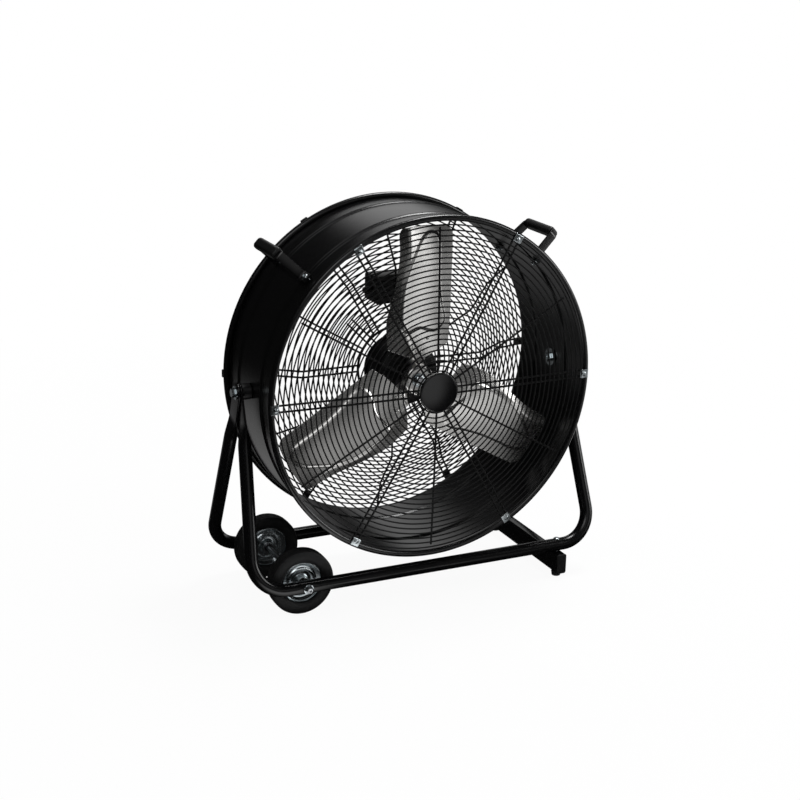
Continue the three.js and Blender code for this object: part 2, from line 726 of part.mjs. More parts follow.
// Depth of the blade's middle sheet: bulged back between the leading edge and the crease, then straight.
function sheetDepth(s, t) {
  const [tl, yl] = courseAt(bladeCourse.leading, s);
  const [tc, yc] = courseAt(bladeCourse.crease, s);
  const [tt, yt] = courseAt(bladeCourse.trailing, s);
  if (t < tc) return yc + ((yt - yc) * (tc - t)) / (tc - tt);
  const k = (tl - t) / (tl - tc);
  return yl + (yc - yl) * k + BLADE.bulge * Math.sin(Math.PI * k);
}

// Point on the blade's middle sheet: a runs from the root to the tip, b from the leading edge to the
// trailing one.
function bladePoint(a, b) {
  const cross = (0.5 - b) * 2 * BLADE.tipHalf;
  const corner = BLADE.cornerCut * Math.max(0, (Math.abs(b - 0.5) - 0.4) / 0.1);
  const from = rootReach(cross);
  const to = Math.sqrt((DRUM.radius - BLADE.tipClearance) ** 2 - cross ** 2) - corner;
  const s = from + (to - from) * a;
  const tl = courseAt(bladeCourse.leading, s)[0];
  const tc = courseAt(bladeCourse.crease, s)[0];
  const tt = courseAt(bladeCourse.trailing, s)[0];
  const pastCrease = (b - BLADE.creaseShare) / (1 - BLADE.creaseShare);
  const t = pastCrease <= 0 ? tl + ((tc - tl) * b) / BLADE.creaseShare : tc + (tt - tc) * pastCrease;
  return [s, t, sheetDepth(s, t)];
}
function bladeGeometry() {
  const across = [0, 0.12, 0.3, 0.5, 0.62, 0.72, 0.86, 1];
  const rings = Array.from({ length: BLADE.stations }, (_, i) => {
    const a = i / (BLADE.stations - 1);
    const sheet = across.map((b) => bladePoint(a, b));
    const face = (offset) => sheet.map(([s, t, y]) => new THREE.Vector3(s, y + offset, -t));
    return [...face(-BLADE.thickness / 2), ...face(BLADE.thickness / 2).reverse()];
  });
  return loft(rings);
}
["a", "b", "c"].forEach((letter, i) => {
  place(`blade_${letter}`, aboutAxis(bladeGeometry(), BLADE.firstAngle + 120 * i), aluminium);
});
{
  // Each arm lies against the back of a blade's root and runs into the hub's boss.
  const halfArm = HUB.armWidth / 2;
  const rows = [HUB.armReach, HUB.armReach - 22, HUB.radius + 14].map((s) => {
    const offset = BLADE.thickness / 2 + HUB.armGap;
    const edge = [-halfArm - 6, 0, halfArm - 6].map((t) => [s, t, sheetDepth(s, t) + offset]);
    return [...edge, ...edge.map(([u, t, y]) => [u, t, y + HUB.armThickness]).reverse()];
  });
  const inHub = [-0.6, 0, 0.6].map((share) => [HUB.radius - 8, share * halfArm, hubBack - 6]);
  rows.push([...inHub, ...inHub.map(([u, t, y]) => [u, t, y + HUB.armThickness]).reverse()]);
  const arm = () => loft(rows.map((row) => row.map(([s, t, y]) => new THREE.Vector3(s, y, -t))));
  const arms = [0, 120, 240].map((turn) => aboutAxis(arm(), BLADE.firstAngle + turn));
  const seat = hubFront + HUB.recess;
  const boss = turned(
    [
      [MOTOR.shaftRadius + GAP, seat],
      [MOTOR.shaftRadius + GAP, hubBack],
      [HUB.radius, hubBack],
      [HUB.radius, seat + 4],
      [HUB.radius - 6, seat],
      [MOTOR.shaftRadius + GAP, seat],
    ],
    32,
  );
  place("fan_hub", shaped(at(boss, 0, 0, axisHeight), { add: arms }), aluminium);
  const nutBack = seat - GAP;
  const shaftFront = nutBack - HUB.nutHeight - HUB.thread;
  const shaft = rod("y", MOTOR.shaftRadius, shaftFront, motorFront + MOTOR.bellLength - 1, 20);
  place("motor_shaft", at(shaft, 0, 0, axisHeight), steel);
  const nut = shaped(rod("y", HUB.nutRadius, nutBack - HUB.nutHeight, nutBack, 6), {
    cut: [rod("y", MOTOR.shaftRadius + GAP, nutBack - HUB.nutHeight - 1, nutBack + 1, 20)],
  });
  place("hub_nut", at(nut, 0, 0, axisHeight), zinc);
}

// ---------------------------------------------------------------- handles

for (const [side, angle] of [["right", HANDLE.angle], ["left", 180 - HANDLE.angle]]) {
  const seat = DRUM.radius + DRUM.beadHeight + GAP + HANDLE.strapThickness / 2;
  const foot = HANDLE.boltSpacing / 2 - HANDLE.legInset;
  const point = (y, r) => new THREE.Vector3(r, HANDLE.place + y, 0);
  const path = rounded(
    [
      point(-foot - HANDLE.footLength, seat),
      point(-foot, seat),
      point(-foot + HANDLE.lean, seat + HANDLE.rise),
      point(foot - HANDLE.lean, seat + HANDLE.rise),
      point(foot, seat),
      point(foot + HANDLE.footLength, seat),
    ],
    HANDLE.bendRadius,
    3,
  );
  const halfT = HANDLE.strapThickness / 2;
  const halfW = HANDLE.strapWidth / 2;
  const section = [[-halfT, -halfW], [halfT, -halfW], [halfT, halfW], [-halfT, halfW]];
  const strap = swept(path, new THREE.Vector3(0, 0, 1), () => section);
  const boltHoles = [-0.5, 0.5].map((end) => {
    const hole = rod("x", HANDLE_BOLT.radius + HANDLE_BOLT.clearance, seat - 10, seat + 10);
    return at(hole, 0, HANDLE.place + end * HANDLE.boltSpacing, 0);
  });
  place(`handle_strap_${side}`, aboutAxis(shaped(strap, { cut: boltHoles }), angle), blackPaint);
  const gripShape = new THREE.Shape();
  gripShape.absellipse(0, 0, HANDLE.gripWidth / 2, HANDLE.gripThickness / 2, 0, 2 * Math.PI);
  const slot = block(
    [-halfW - GAP, -halfT - GAP, -1],
    [halfW + GAP, halfT + GAP, HANDLE.gripLength + 1],
  );
  const gripRun = { depth: HANDLE.gripLength, bevelEnabled: false, curveSegments: 10 };
  const grip = shaped(new THREE.ExtrudeGeometry(gripShape, gripRun), { cut: [slot] });
  grip.rotateZ(Math.PI / 2).rotateX(-Math.PI / 2);
  at(grip, seat + HANDLE.rise, HANDLE.place - HANDLE.gripLength / 2, 0);
  place(`handle_grip_${side}`, aboutAxis(grip, angle), foam);
  for (const [end, share] of [["front", -0.5], ["rear", 0.5]]) {
    const head = seat + halfT + GAP;
    const inside = seatInside(HANDLE_BOLT.headRadius);
    const nutEnd = inside - HANDLE_BOLT.nutHeight;
    const bolt = shaped(rod("x", HANDLE_BOLT.radius, nutEnd - HANDLE_BOLT.thread, head + 1), {
      add: [
        rod("x", HANDLE_BOLT.headRadius, head, head + HANDLE_BOLT.headHeight, 6),
        rod("x", HANDLE_BOLT.headRadius, nutEnd, inside, 6),
      ],
    });
    at(bolt, 0, HANDLE.place + share * HANDLE.boltSpacing, 0);
    place(`handle_bolt_${side}_${end}`, aboutAxis(bolt, angle), zinc);
  }
}

// ---------------------------------------------------------------- switch box

{
  const front = neckPlane + 3 * GUARD.wireRadius - GUARD.weld + GAP; // behind the spokes
  const back = front + BOX.depth;
  const bottom = axisHeight + BOX.aboveAxis;
  const outline = (inset) => {
    const half = BOX.width / 2 - inset;
    const cut = BOX.chamfer;
    const shape = new THREE.Shape();
    shape.moveTo(-half + cut, inset);
    shape.lineTo(half - cut, inset);
    shape.lineTo(half, inset + cut);
    shape.lineTo(half, BOX.height - inset);
    shape.lineTo(-half, BOX.height - inset);
    shape.lineTo(-half, inset + cut);
    shape.closePath();
    return shape;
  };
  // Outline in X and Z, thick along Y from one plane to another.
  const slab = (inset, from, to) => {
    const run = new THREE.ExtrudeGeometry(outline(inset), { depth: to - from, bevelEnabled: false });
    return at(run.rotateX(Math.PI / 2), 0, to, bottom);
  };
  const glandHeight = bottom + GLAND.height;
  const glandY = (front + back) / 2;
  const side = BOX.width / 2;
  const glandHole = at(rod("x", GLAND.bore, -side - 2, -side + BOX.wall + 2), 0, glandY, glandHeight);
  const leadHole = at(rod("z", LEAD.radius + GAP, bottom - 2, bottom + BOX.wall + 2), LEAD.place, glandY, 0);
  const hollow = slab(BOX.wall, front + BOX.wall, back + 1);
  place("switch_box", shaped(slab(0, front, back), { cut: [hollow, glandHole, leadHole] }), blackPlastic);
  const knobZ = bottom + BOX.height * 0.5;
  const lidBack = back + GAP + BOX.lidThickness;
  const lid = shaped(slab(0, back + GAP, lidBack), {
    cut: [at(rod("y", KNOB.stemRadius + GAP, back - 1, lidBack + 1), 0, 0, knobZ)],
  });
  place("switch_box_lid", lid, blackPlastic);
  const stemFront = back - BOX.wall - SWITCH.behindLid;
  const switchBody = shaped(rod("y", SWITCH.radius, stemFront - SWITCH.length, stemFront, 20));
  place("rotary_switch", at(switchBody, 0, 0, knobZ), blackPlastic);
  const gripHalf = KNOB.radius * KNOB.gripShare;
  const knobGrip = block(
    [-KNOB.gripWidth / 2, lidBack + 1, -gripHalf],
    [KNOB.gripWidth / 2, lidBack + GAP + KNOB.height, gripHalf],
  );
  const knob = shaped(rod("y", KNOB.radius, lidBack + GAP, lidBack + GAP + KNOB.skirt, 28), {
    add: [knobGrip, rod("y", KNOB.stemRadius, stemFront + GAP, lidBack + 1)],
  });
  place("speed_knob", at(knob, 0, 0, knobZ), blackPlastic);
  const floorY = front + BOX.wall + GAP;
  const inCorner = BOX.wall + CAPACITOR.radius + CAPACITOR.clearance;
  const capacitor = rod("y", CAPACITOR.radius, floorY, floorY + CAPACITOR.length, 20);
  place("run_capacitor", at(capacitor, side - inCorner, 0, bottom + BOX.height - inCorner), blackPlastic);
  const gland = shaped(rod("x", GLAND.radius, -side - GLAND.length, -side - GAP, 16), {
    cut: [rod("x", GLAND.bore, -side - GLAND.length - 1, -side)],
  });
  place("lead_gland", at(gland, 0, glandY, glandHeight), blackPlastic);
  // The motor's lead runs from the box's floor to the back of the motor.
  const leadX = LEAD.place;
  const leadPlane = glandY;
  const path = new THREE.CatmullRomCurve3([
    new THREE.Vector3(leadX, leadPlane, bottom - GAP),
    new THREE.Vector3(leadX, leadPlane, bottom - 14),
    new THREE.Vector3(leadX + 8, leadPlane + 1, bottom - 40),
    new THREE.Vector3(leadX + 6, leadPlane - 2, axisHeight + 50),
    new THREE.Vector3(leadX - 4, leadPlane - 6, axisHeight + 22),
    new THREE.Vector3(leadX - 14, motorBack + 16, axisHeight + 8),
    new THREE.Vector3(leadX - 16, motorBack + 6, axisHeight + 6),
    new THREE.Vector3(leadX - 16, motorBack + GAP, axisHeight + 6),
  ]);
  const cross = new THREE.Shape(circle(LEAD.radius, 8).map(([x, y]) => new THREE.Vector2(x, y)));
  const lead = new THREE.ExtrudeGeometry(cross, { steps: 18, bevelEnabled: false, extrudePath: path });
  place("motor_lead", lead, blackPlastic);
}

export default fan;
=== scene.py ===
import math

import bmesh
import bpy
import numpy as np
from mathutils import Matrix, Vector


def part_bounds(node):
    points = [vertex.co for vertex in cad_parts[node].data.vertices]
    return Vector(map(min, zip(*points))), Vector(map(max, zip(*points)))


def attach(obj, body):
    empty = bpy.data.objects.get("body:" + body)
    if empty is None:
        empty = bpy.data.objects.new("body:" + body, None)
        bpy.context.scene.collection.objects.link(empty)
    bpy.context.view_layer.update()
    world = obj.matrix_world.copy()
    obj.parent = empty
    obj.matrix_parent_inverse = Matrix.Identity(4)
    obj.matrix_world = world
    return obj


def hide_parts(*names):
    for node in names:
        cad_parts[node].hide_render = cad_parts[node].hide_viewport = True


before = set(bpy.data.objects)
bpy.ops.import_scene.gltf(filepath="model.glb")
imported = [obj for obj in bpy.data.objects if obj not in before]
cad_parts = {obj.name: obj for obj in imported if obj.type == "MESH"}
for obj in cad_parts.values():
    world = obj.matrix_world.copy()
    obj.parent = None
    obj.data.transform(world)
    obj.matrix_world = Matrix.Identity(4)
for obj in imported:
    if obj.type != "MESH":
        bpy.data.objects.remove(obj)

bl_info = {
    "name": "Drum Fan",
    "version": (1, 0, 0),
    "blender": (4, 5, 0),
    "location": "View3D > Sidebar > Drum Fan",
    "description": "Draws a drum fan on its frame: drum, guards, blades, motor, legs, wheels and stage",
    "category": "Object",
}

# Shapes are worked out in millimetres, in the frame's axes: +X to the foot bar, +Y to the intake, +Z up.
MM = 0.001
SIX_AROUND = (0, 60, 120, 180, 240, 300)
FOUR_AROUND = (45, 135, 225, 315)


def part_box(node):
    """The lowest and highest corners of a frame part at rest, in millimetres."""
    low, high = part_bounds(node)
    return np.array(low) * 1000, np.array(high) * 1000


DRUM_LOW, DRUM_HIGH = part_box("drum_shell")
AXIS_HEIGHT = float((DRUM_LOW[2] + DRUM_HIGH[2]) / 2)
RIM_RADIUS = float(DRUM_HIGH[2] - AXIS_HEIGHT)
HALF_DEPTH = float(DRUM_HIGH[1])
TUBE_HEIGHT = float(part_box("wheel_axle")[0][2] + part_box("wheel_axle")[1][2]) / 2


# ---------------------------------------------------------------- sizes and colours


def linear(colour):
    """An sRGB hex colour as linear red, green and blue: a straight line up to 0.04045, then a 2.4 power."""
    srgb = np.array([int(colour[i:i + 2], 16) for i in (1, 3, 5)]) / 255
    return tuple(np.where(srgb <= 0.04045, srgb / 12.92, ((srgb + 0.055) / 1.055) ** 2.4).tolist())


def length(name, description, millimetres, low=0.0):
    return bpy.props.FloatProperty(
        name=name, description=description, default=millimetres * MM, min=low * MM,
        subtype="DISTANCE", unit="LENGTH", precision=4,
    )


def colour(name, description, value):
    return bpy.props.FloatVectorProperty(
        name=name, description=description, default=linear(value), size=3, min=0, max=1, subtype="COLOR",
    )


class DrumFanSizes(bpy.types.PropertyGroup):
    ring_pitch: length("Ring Pitch", "Distance between two rings of a guard", 10, 4)
    wire: length("Ring Wire", "Thickness of the guards' ring wires", 2.8, 1)
    radial: length("Radial Wire", "Thickness of the guards' radial wires", 3.8, 1)
    bead_height: length("Swage Height", "How far the drum's two swages stand out", 3)
    bead_width: length("Swage Width", "Width of each of the drum's swages", 16, 4)
    blade_thickness: length("Blade Thickness", "Thickness of the blades' sheet", 1.5, 0.5)
    emboss_height: length("Emboss Height", "How far a blade's pressed panel stands forward", 2.6)
    emboss_slope: length("Emboss Slope", "Width of the slope round a blade's pressed panel", 7, 1)
    badge_dish: length("Badge Dish", "How deep the badge is dished", 2.5)
    tread_depth: length("Tread Depth", "Depth of the grooves round the tyres", 1.2)
    floor: length("Floor", "Radius of the floor", 25000, 2000)


class DrumFanColours(bpy.types.PropertyGroup):
    drum: colour("Drum", "Gloss powder coat on the drum and the handles' straps", "#070708")
    legs: colour("Legs", "Semi-gloss powder coat on the tubes and the bar", "#070708")
    wires: colour("Guard Wires", "Satin coat on the guards", "#060607")
    motor: colour("Motor", "Satin enamel on the motor", "#0a0a0b")
    zinc: colour("Zinc", "Bright zinc plate on bolts, clips and rims", "#c4cbce")
    blades: colour("Blades", "Mill finish aluminium", "#c6c5c3")
    steel: colour("Steel", "Turned steel of the axle and the shaft", "#a9abae")
    tyre: colour("Tyres", "Moulded rubber of the tyres", "#080809")
    feet: colour("Feet", "Moulded rubber of the feet", "#121213")
    foam: colour("Grips", "Foam of the handle grips", "#0c0c0d")
    plastic: colour("Plastic", "Moulded plastic of the badge, the switch box and the bushes", "#0c0c0d")
    lead: colour("Lead", "Jacket of the motor's lead", "#0d0d0e")
    floor: colour("Floor", "Paper that the fan stands on", "#f4f4f4")


def sizes():
    return bpy.context.scene.drum_fan_sizes


def colours():
    return bpy.context.scene.drum_fan_colours


# ---------------------------------------------------------------- surfaces


def unit(vectors):
    return vectors / np.linalg.norm(vectors, axis=-1, keepdims=True)


def grid(points, wrap_rows=False, wrap_columns=False, caps=False):
    """A grid of points as a skin: every cell between two rows and two columns is one four-sided face.

    Caps close the first and the last row with a strip of cells between the row's two halves.
    """
    rows, columns = points.shape[:2]
    number = np.arange(rows * columns).reshape(rows, columns)
    half = columns // 2
    ends = []
    for ring in (number[0], number[-1]) if caps else ():
        there, back = ring[:half], ring[::-1][:half]
        ends += np.stack([there[:-1], there[1:], back[1:], back[:-1]], axis=-1).tolist()
    if wrap_rows:
        number = np.vstack([number, number[:1]])
    if wrap_columns:
        number = np.hstack([number, number[:, :1]])
    cells = np.stack([number[:-1, :-1], number[:-1, 1:], number[1:, 1:], number[1:, :-1]], axis=-1)
    return points.reshape(-1, 3), cells.reshape(-1, 4).tolist() + ends


def turned(profile, sides=64, closed=False):
    """A profile of (radius, along) turned about Y: x = radius cos a, y = along, z = radius sin a."""
    profile = np.asarray(profile, float)
    angle = np.linspace(0, 2 * np.pi, sides, endpoint=False)
    radius, along = profile[:, :1], profile[:, 1:]
    points = np.stack([radius * np.cos(angle), along + 0 * angle, radius * np.sin(angle)], axis=-1)
    return grid(points, wrap_rows=closed, wrap_columns=True)


def swept(path, normal, section, closed=False):
    """A section carried along a flat path: path + across * first + normal * second, mitred at corners."""
    path, section = np.asarray(path, float), np.asarray(section, float)
    normal = unit(np.asarray(normal, float))
    if closed:
        behind, ahead = np.roll(path, 1, axis=0), np.roll(path, -1, axis=0)
    else:
        behind = np.vstack([2 * path[0] - path[1], path[:-1]])
        ahead = np.vstack([path[1:], 2 * path[-1] - path[-2]])
    out = unit(ahead - path)
    tangent = unit(unit(path - behind) + out)
    across = unit(np.cross(normal, tangent)) / np.clip((tangent * out).sum(axis=1, keepdims=True), 0.5, 1)
    points = path[:, None] + across[:, None] * section[..., :1] + normal * section[..., 1:]
    return grid(points, wrap_rows=closed, wrap_columns=True, caps=not closed)


def lofted(rows):
    """Rows of points that go round a closed form, joined in order, with both ends closed."""
    return grid(np.asarray(rows, float), wrap_columns=True, caps=True)


def rounded(corners, radius, steps=8, closed=False):
    """A polyline with arcs at its inner corners: centre + radius (cos, sin) between the two tangents."""
    corners = np.asarray(corners, float)
    inner = range(len(corners)) if closed else range(1, len(corners) - 1)
    pieces = []
    for i in inner:
        here = corners[i]
        before, after = unit(corners[i - 1] - here), unit(corners[(i + 1) % len(corners)] - here)
        half = math.acos(float(np.clip(np.dot(before, after), -1, 1))) / 2
        centre = here + unit(before + after) * radius / math.sin(half)
        start = here + before * radius / math.tan(half) - centre
        end = here + after * radius / math.tan(half) - centre
        share = np.linspace(0, 1, steps + 1)[:, None]
        angle = math.pi - 2 * half
        spoke = (np.sin((1 - share) * angle) * start + np.sin(share * angle) * end) / math.sin(angle)
        pieces.append(centre + spoke)
    if closed:
        return np.vstack(pieces)
    return np.vstack([corners[:1], *pieces, corners[-1:]])


def eased(x, places, values):
    """A smooth curve through (place, value): a cubic between two places, with the neighbours' slopes."""
    places, values = np.asarray(places, float), np.asarray(values, float)
    slope = np.gradient(values, places)
    i = np.clip(np.searchsorted(places, x) - 1, 0, len(places) - 2)
    gap = places[i + 1] - places[i]
    u = (x - places[i]) / gap
    rise = (1 + 2 * u) * (1 - u) ** 2 * values[i] + u * u * (3 - 2 * u) * values[i + 1]
    return rise + gap * (u * (1 - u) ** 2 * slope[i] + u * u * (u - 1) * slope[i + 1])


def smooth_step(x):
    """0 up to 0 and 1 from 1 on, with 3x^2 - 2x^3 between."""
    x = np.clip(x, 0, 1)
    return x * x * (3 - 2 * x)


def circle(radius, sides=12):
    angle = 2 * np.pi * (np.arange(sides) + 0.5) / sides
    return np.stack([radius * np.cos(angle), radius * np.sin(angle)], axis=1)


def arc(centre, radii, start, end, steps):
    """Points on an arc: centre + radii (cos a, sin a), with a in radians from start to end."""
    angle = np.linspace(start, end, steps)
    return np.array(centre) + np.array(radii) * np.stack([np.cos(angle), np.sin(angle)], axis=1)


def rectangle(width, height, radius, steps=4):
    """A rectangle about the origin with round corners, as (across, up) points."""
    w, h = width / 2, height / 2
    return rounded([(-w, -h), (w, -h), (w, h), (-w, h)], radius, steps, closed=True)


def in_plane(path):
    """(across, along) points in the plane of X and Y."""
    return np.column_stack([path, np.zeros(len(path))])


def prism(outline, low, high, bevel=0.6):
    """An outline of (x, z) points carried along Y from low to high, drawn in by the bevel at both ends."""
    outline = np.asarray(outline, float)
    middle = outline.mean(axis=0)
    inset = 1 - bevel / np.linalg.norm(outline - middle, axis=1).max()
    small = middle + (outline - middle) * inset
    rows = [(small, low), (outline, low + bevel), (outline, high - bevel), (small, high)]
    return lofted([np.stack([flat[:, 0], np.full(len(flat), y), flat[:, 1]], axis=1) for flat, y in rows])


def moved(skin, x=0.0, y=0.0, z=0.0):
    return skin[0] + np.array([x, y, z]), skin[1]


def along_x(skin):
    """The skin with its Y axis turned to X."""
    return skin[0][:, [1, 0, 2]], skin[1]


def along_z(skin):
    """The skin with its Y axis turned to Z."""
    return skin[0][:, [0, 2, 1]], skin[1]


def scaled(skin, x=1, y=1, z=1):
    return skin[0] * np.array([x, y, z]), skin[1]


def about_axis(skin, degrees):
    """The skin turned about the drum's axis, from +X towards +Z, and raised to it."""
    angle = math.radians(degrees)
    x, y, z = skin[0].T
    c, s = math.cos(angle), math.sin(angle)
    return np.stack([x * c - z * s, y, x * s + z * c + AXIS_HEIGHT], axis=1), skin[1]


def turned_copies(skin, angles):
    """Copies of a skin about the drum's axis, one at each angle."""
    return [about_axis(skin, angle) for angle in angles]


def hexagon(radius, low, high, chamfer=0.8):
    """A hexagon about Y from low to high, with its corners cut back at both faces."""
    profile = [(0, low), (radius * 0.9, low), (radius, low + chamfer), (radius, high - chamfer),
               (radius * 0.9, high), (0, high)]
    return turned(profile, 6)


def disc(radius, low, high, edge=0.5, sides=48, bore=0.0):
    """A round plate about Y with its edges broken, and a hole if it has a bore."""
    profile = [(bore, low), (radius - edge, low), (radius, low + edge), (radius, high - edge),
               (radius - edge, high), (bore, high)]
    return turned(profile, sides, closed=bore > 0)


def pan_head(radius, low, high, socket=0.45):
    """A domed head about Y that faces low, with a round socket in its middle."""
    angle = np.linspace(0.35, np.pi / 2, 7)
    height = high - low
    dome = np.stack([radius * np.sin(angle), high - height * np.cos(angle) ** 0.8], axis=1)
    inside = radius * socket
    profile = [(0, low + height * 0.6), (inside * 0.9, low + height * 0.6), (inside, low + height * 0.12)]
    return turned(np.vstack([profile, dome[dome[:, 0] > inside * 1.1], [(radius, high), (0, high)]]), 24)


def make_piece(name, skins, look, body, *stands_for, sharp=38, wall=0.0):
    """One object at the origin from some skins, smooth up to an angle, riding on a body of the frame."""
    points, faces, count = [], [], 0
    for skin_points, skin_faces in skins:
        points.append(skin_points)
        faces += [[i + count for i in face] for face in skin_faces]
        count += len(skin_points)
    mesh = bpy.data.meshes.new(name)
    mesh.from_pydata((np.vstack(points) * MM).tolist(), [], faces)
    shape = bmesh.new()
    shape.from_mesh(mesh)
    bmesh.ops.remove_doubles(shape, verts=shape.verts, dist=1e-7)
    bmesh.ops.recalc_face_normals(shape, faces=shape.faces)
    shape.to_mesh(mesh)
    shape.free()
    mesh.shade_smooth()
    mesh.set_sharp_from_angle(angle=math.radians(sharp))
    mesh.materials.append(finish(look))
    piece = bpy.data.objects.new(name, mesh)
    bpy.context.scene.collection.objects.link(piece)
    if wall:
        solid = piece.modifiers.new("Sheet", "SOLIDIFY")
        solid.thickness = wall * MM
        solid.offset = 0
    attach(piece, body)
    if stands_for:
        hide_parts(*stands_for)
    return piece


# ---------------------------------------------------------------- finishes


def link(tree, node, links):
    """Links to a node's inputs. Each source is a node and the name or number of its output."""
    for key, (source, output) in links.items():
        tree.links.new(source.outputs[output], node.inputs[key])


def add_node(tree, kind, settings=None, links=None):
    """A node with its settings and links. A lower case name is the node's own, any other is an input's."""
    node = tree.nodes.new("ShaderNode" + kind)
    for key, value in (settings or {}).items():
        if isinstance(key, str) and key[0].islower():
            setattr(node, key, value)
        else:
            node.inputs[key].default_value = value
    link(tree, node, links or {})
    return node


def start_finish(tree, base, settings):
    """The shader, with its plain numbers on its own sockets, and the piece's coordinates for patterns."""
    shader = add_node(tree, "BsdfPrincipled", {"Base Color": (*base, 1), **settings})
    add_node(tree, "OutputMaterial", links={"Surface": (shader, "BSDF")})
    return shader, (add_node(tree, "TexCoord"), "Object")


def tinted(tree, base, other, share):
    """The base colour going over to another by a share, as a node and its output."""
    mix = add_node(tree, "Mix", {"data_type": "RGBA", 6: (*base, 1), 7: (*other, 1)}, {0: share})
    return mix, 2


def per_metre(millimetres):
    return 1000 / millimetres


def powder_coat(tree, base, roughness, peel, bend):
    """Powder coat, sprayed dry and baked: it flows into low waves, so highlights ripple.

    The waves are drawn 7 mm wide, because real ones of 2 mm are finer than a pixel.
    """
    shader, place = start_finish(tree, base, {"Roughness": roughness, "IOR": bend})
    waves = add_node(tree, "TexNoise", {"Scale": per_metre(7), "Detail": 2.0}, {"Vector": place})
    handled = add_node(tree, "TexNoise", {"Scale": per_metre(90), "Detail": 4.0}, {"Vector": place})
    spread = add_node(tree, "MapRange", {"To Min": roughness * 0.85, "To Max": roughness * 1.25},
                      {"Value": (handled, "Fac")})
    bump = add_node(tree, "Bump", {"Strength": peel, "Distance": 0.0002}, {"Height": (waves, "Fac")})
    link(tree, shader, {"Roughness": (spread, "Result"), "Normal": (bump, "Normal")})


def wire_coat(tree, base):
    """A thin baked dip coat on wire: black and satin, with a shine that varies along the wires."""
    shader, place = start_finish(tree, base, {"Roughness": 0.5, "IOR": 1.45, "Specular IOR Level": 0.3})
    patches = add_node(tree, "TexNoise", {"Scale": per_metre(40), "Detail": 3.0}, {"Vector": place})
    spread = add_node(tree, "MapRange", {"To Min": 0.42, "To Max": 0.6}, {"Value": (patches, "Fac")})
    link(tree, shader, {"Roughness": (spread, "Result")})


def zinc_plate(tree, base):
    """Bright zinc with a clear bluish passivate, barrel plated: a metal with faint clouds in its shine."""
    shader, place = start_finish(tree, base, {"Metallic": 1.0, "Roughness": 0.3})
    clouds = add_node(tree, "TexNoise", {"Scale": per_metre(8), "Detail": 5.0}, {"Vector": place})
    spread = add_node(tree, "MapRange", {"To Min": 0.14, "To Max": 0.3}, {"Value": (clouds, "Fac")})
    tint = tinted(tree, base, [0.82 * value for value in base], (clouds, "Fac"))
    link(tree, shader, {"Base Color": tint, "Roughness": (spread, "Result")})


def mill_aluminium(tree, base):
    """Rolled aluminium sheet, pressed and left bare: a soft metal shine with rolling lines along the strip.

    The lines are drawn 2 mm apart and 90 mm long, because real ones are finer than a pixel.
    """
    shader, place = start_finish(tree, base, {"Metallic": 1.0, "Roughness": 0.25})
    scale = (per_metre(90), per_metre(2), per_metre(2))
    strip = add_node(tree, "Mapping", {"Scale": scale}, {"Vector": place})
    lines = add_node(tree, "TexNoise", {"Scale": 1.0, "Detail": 2.0}, {"Vector": (strip, "Vector")})
    clouds = add_node(tree, "TexNoise", {"Scale": per_metre(70), "Detail": 3.0}, {"Vector": place})
    both = add_node(tree, "Math", {"operation": "ADD"}, {0: (lines, "Fac"), 1: (clouds, "Fac")})
    spread = add_node(tree, "MapRange", {"From Max": 2.0, "To Min": 0.2, "To Max": 0.34},
                      {"Value": (both, "Value")})
    bump = add_node(tree, "Bump", {"Strength": 0.03, "Distance": 0.00005}, {"Height": (lines, "Fac")})
    link(tree, shader, {"Roughness": (spread, "Result"), "Normal": (bump, "Normal")})


def lathe_steel(tree, base):
    """Steel bar turned in a lathe: a metal with fine rings round it, 0.3 mm apart."""
    shader, place = start_finish(tree, base, {"Metallic": 1.0, "Roughness": 0.28})
    pitch = {"bands_direction": "Y", "Scale": per_metre(0.3) / 20, "Distortion": 0.5}
    rings = add_node(tree, "TexWave", pitch, {"Vector": place})
    bump = add_node(tree, "Bump", {"Strength": 0.1, "Distance": 0.00002}, {"Height": (rings, "Fac")})
    link(tree, shader, {"Normal": (bump, "Normal")})


def moulded_rubber(tree, base, roughness, grain):
    """Rubber moulded in a blasted tool: nearly black and dull, with a fine grain and a paler bloom."""
    dull = {"Roughness": roughness, "IOR": 1.52, "Specular IOR Level": 0.25}
    shader, place = start_finish(tree, base, dull)
    fine = add_node(tree, "TexNoise", {"Scale": per_metre(grain), "Detail": 3.0}, {"Vector": place})
    patches = add_node(tree, "TexNoise", {"Scale": per_metre(35), "Detail": 4.0}, {"Vector": place})
    tint = tinted(tree, base, [value * 1.7 + 0.004 for value in base], (patches, "Fac"))
    bump = add_node(tree, "Bump", {"Strength": 0.25, "Distance": 0.0002}, {"Height": (fine, "Fac")})
    link(tree, shader, {"Base Color": tint, "Normal": (bump, "Normal")})


def foam_grip(tree, base):
    """Closed-cell foam tube: a soft matt skin of cells about 1.5 mm wide that catches a little sheen."""
    shader, place = start_finish(tree, base, {"Roughness": 0.42, "IOR": 1.5})
    cells = add_node(tree, "TexVoronoi", {"Scale": per_metre(1.5)}, {"Vector": place})
    bump = add_node(tree, "Bump", {"Strength": 0.3, "Distance": 0.0003}, {"Height": (cells, "Distance")})
    link(tree, shader, {"Normal": (bump, "Normal")})


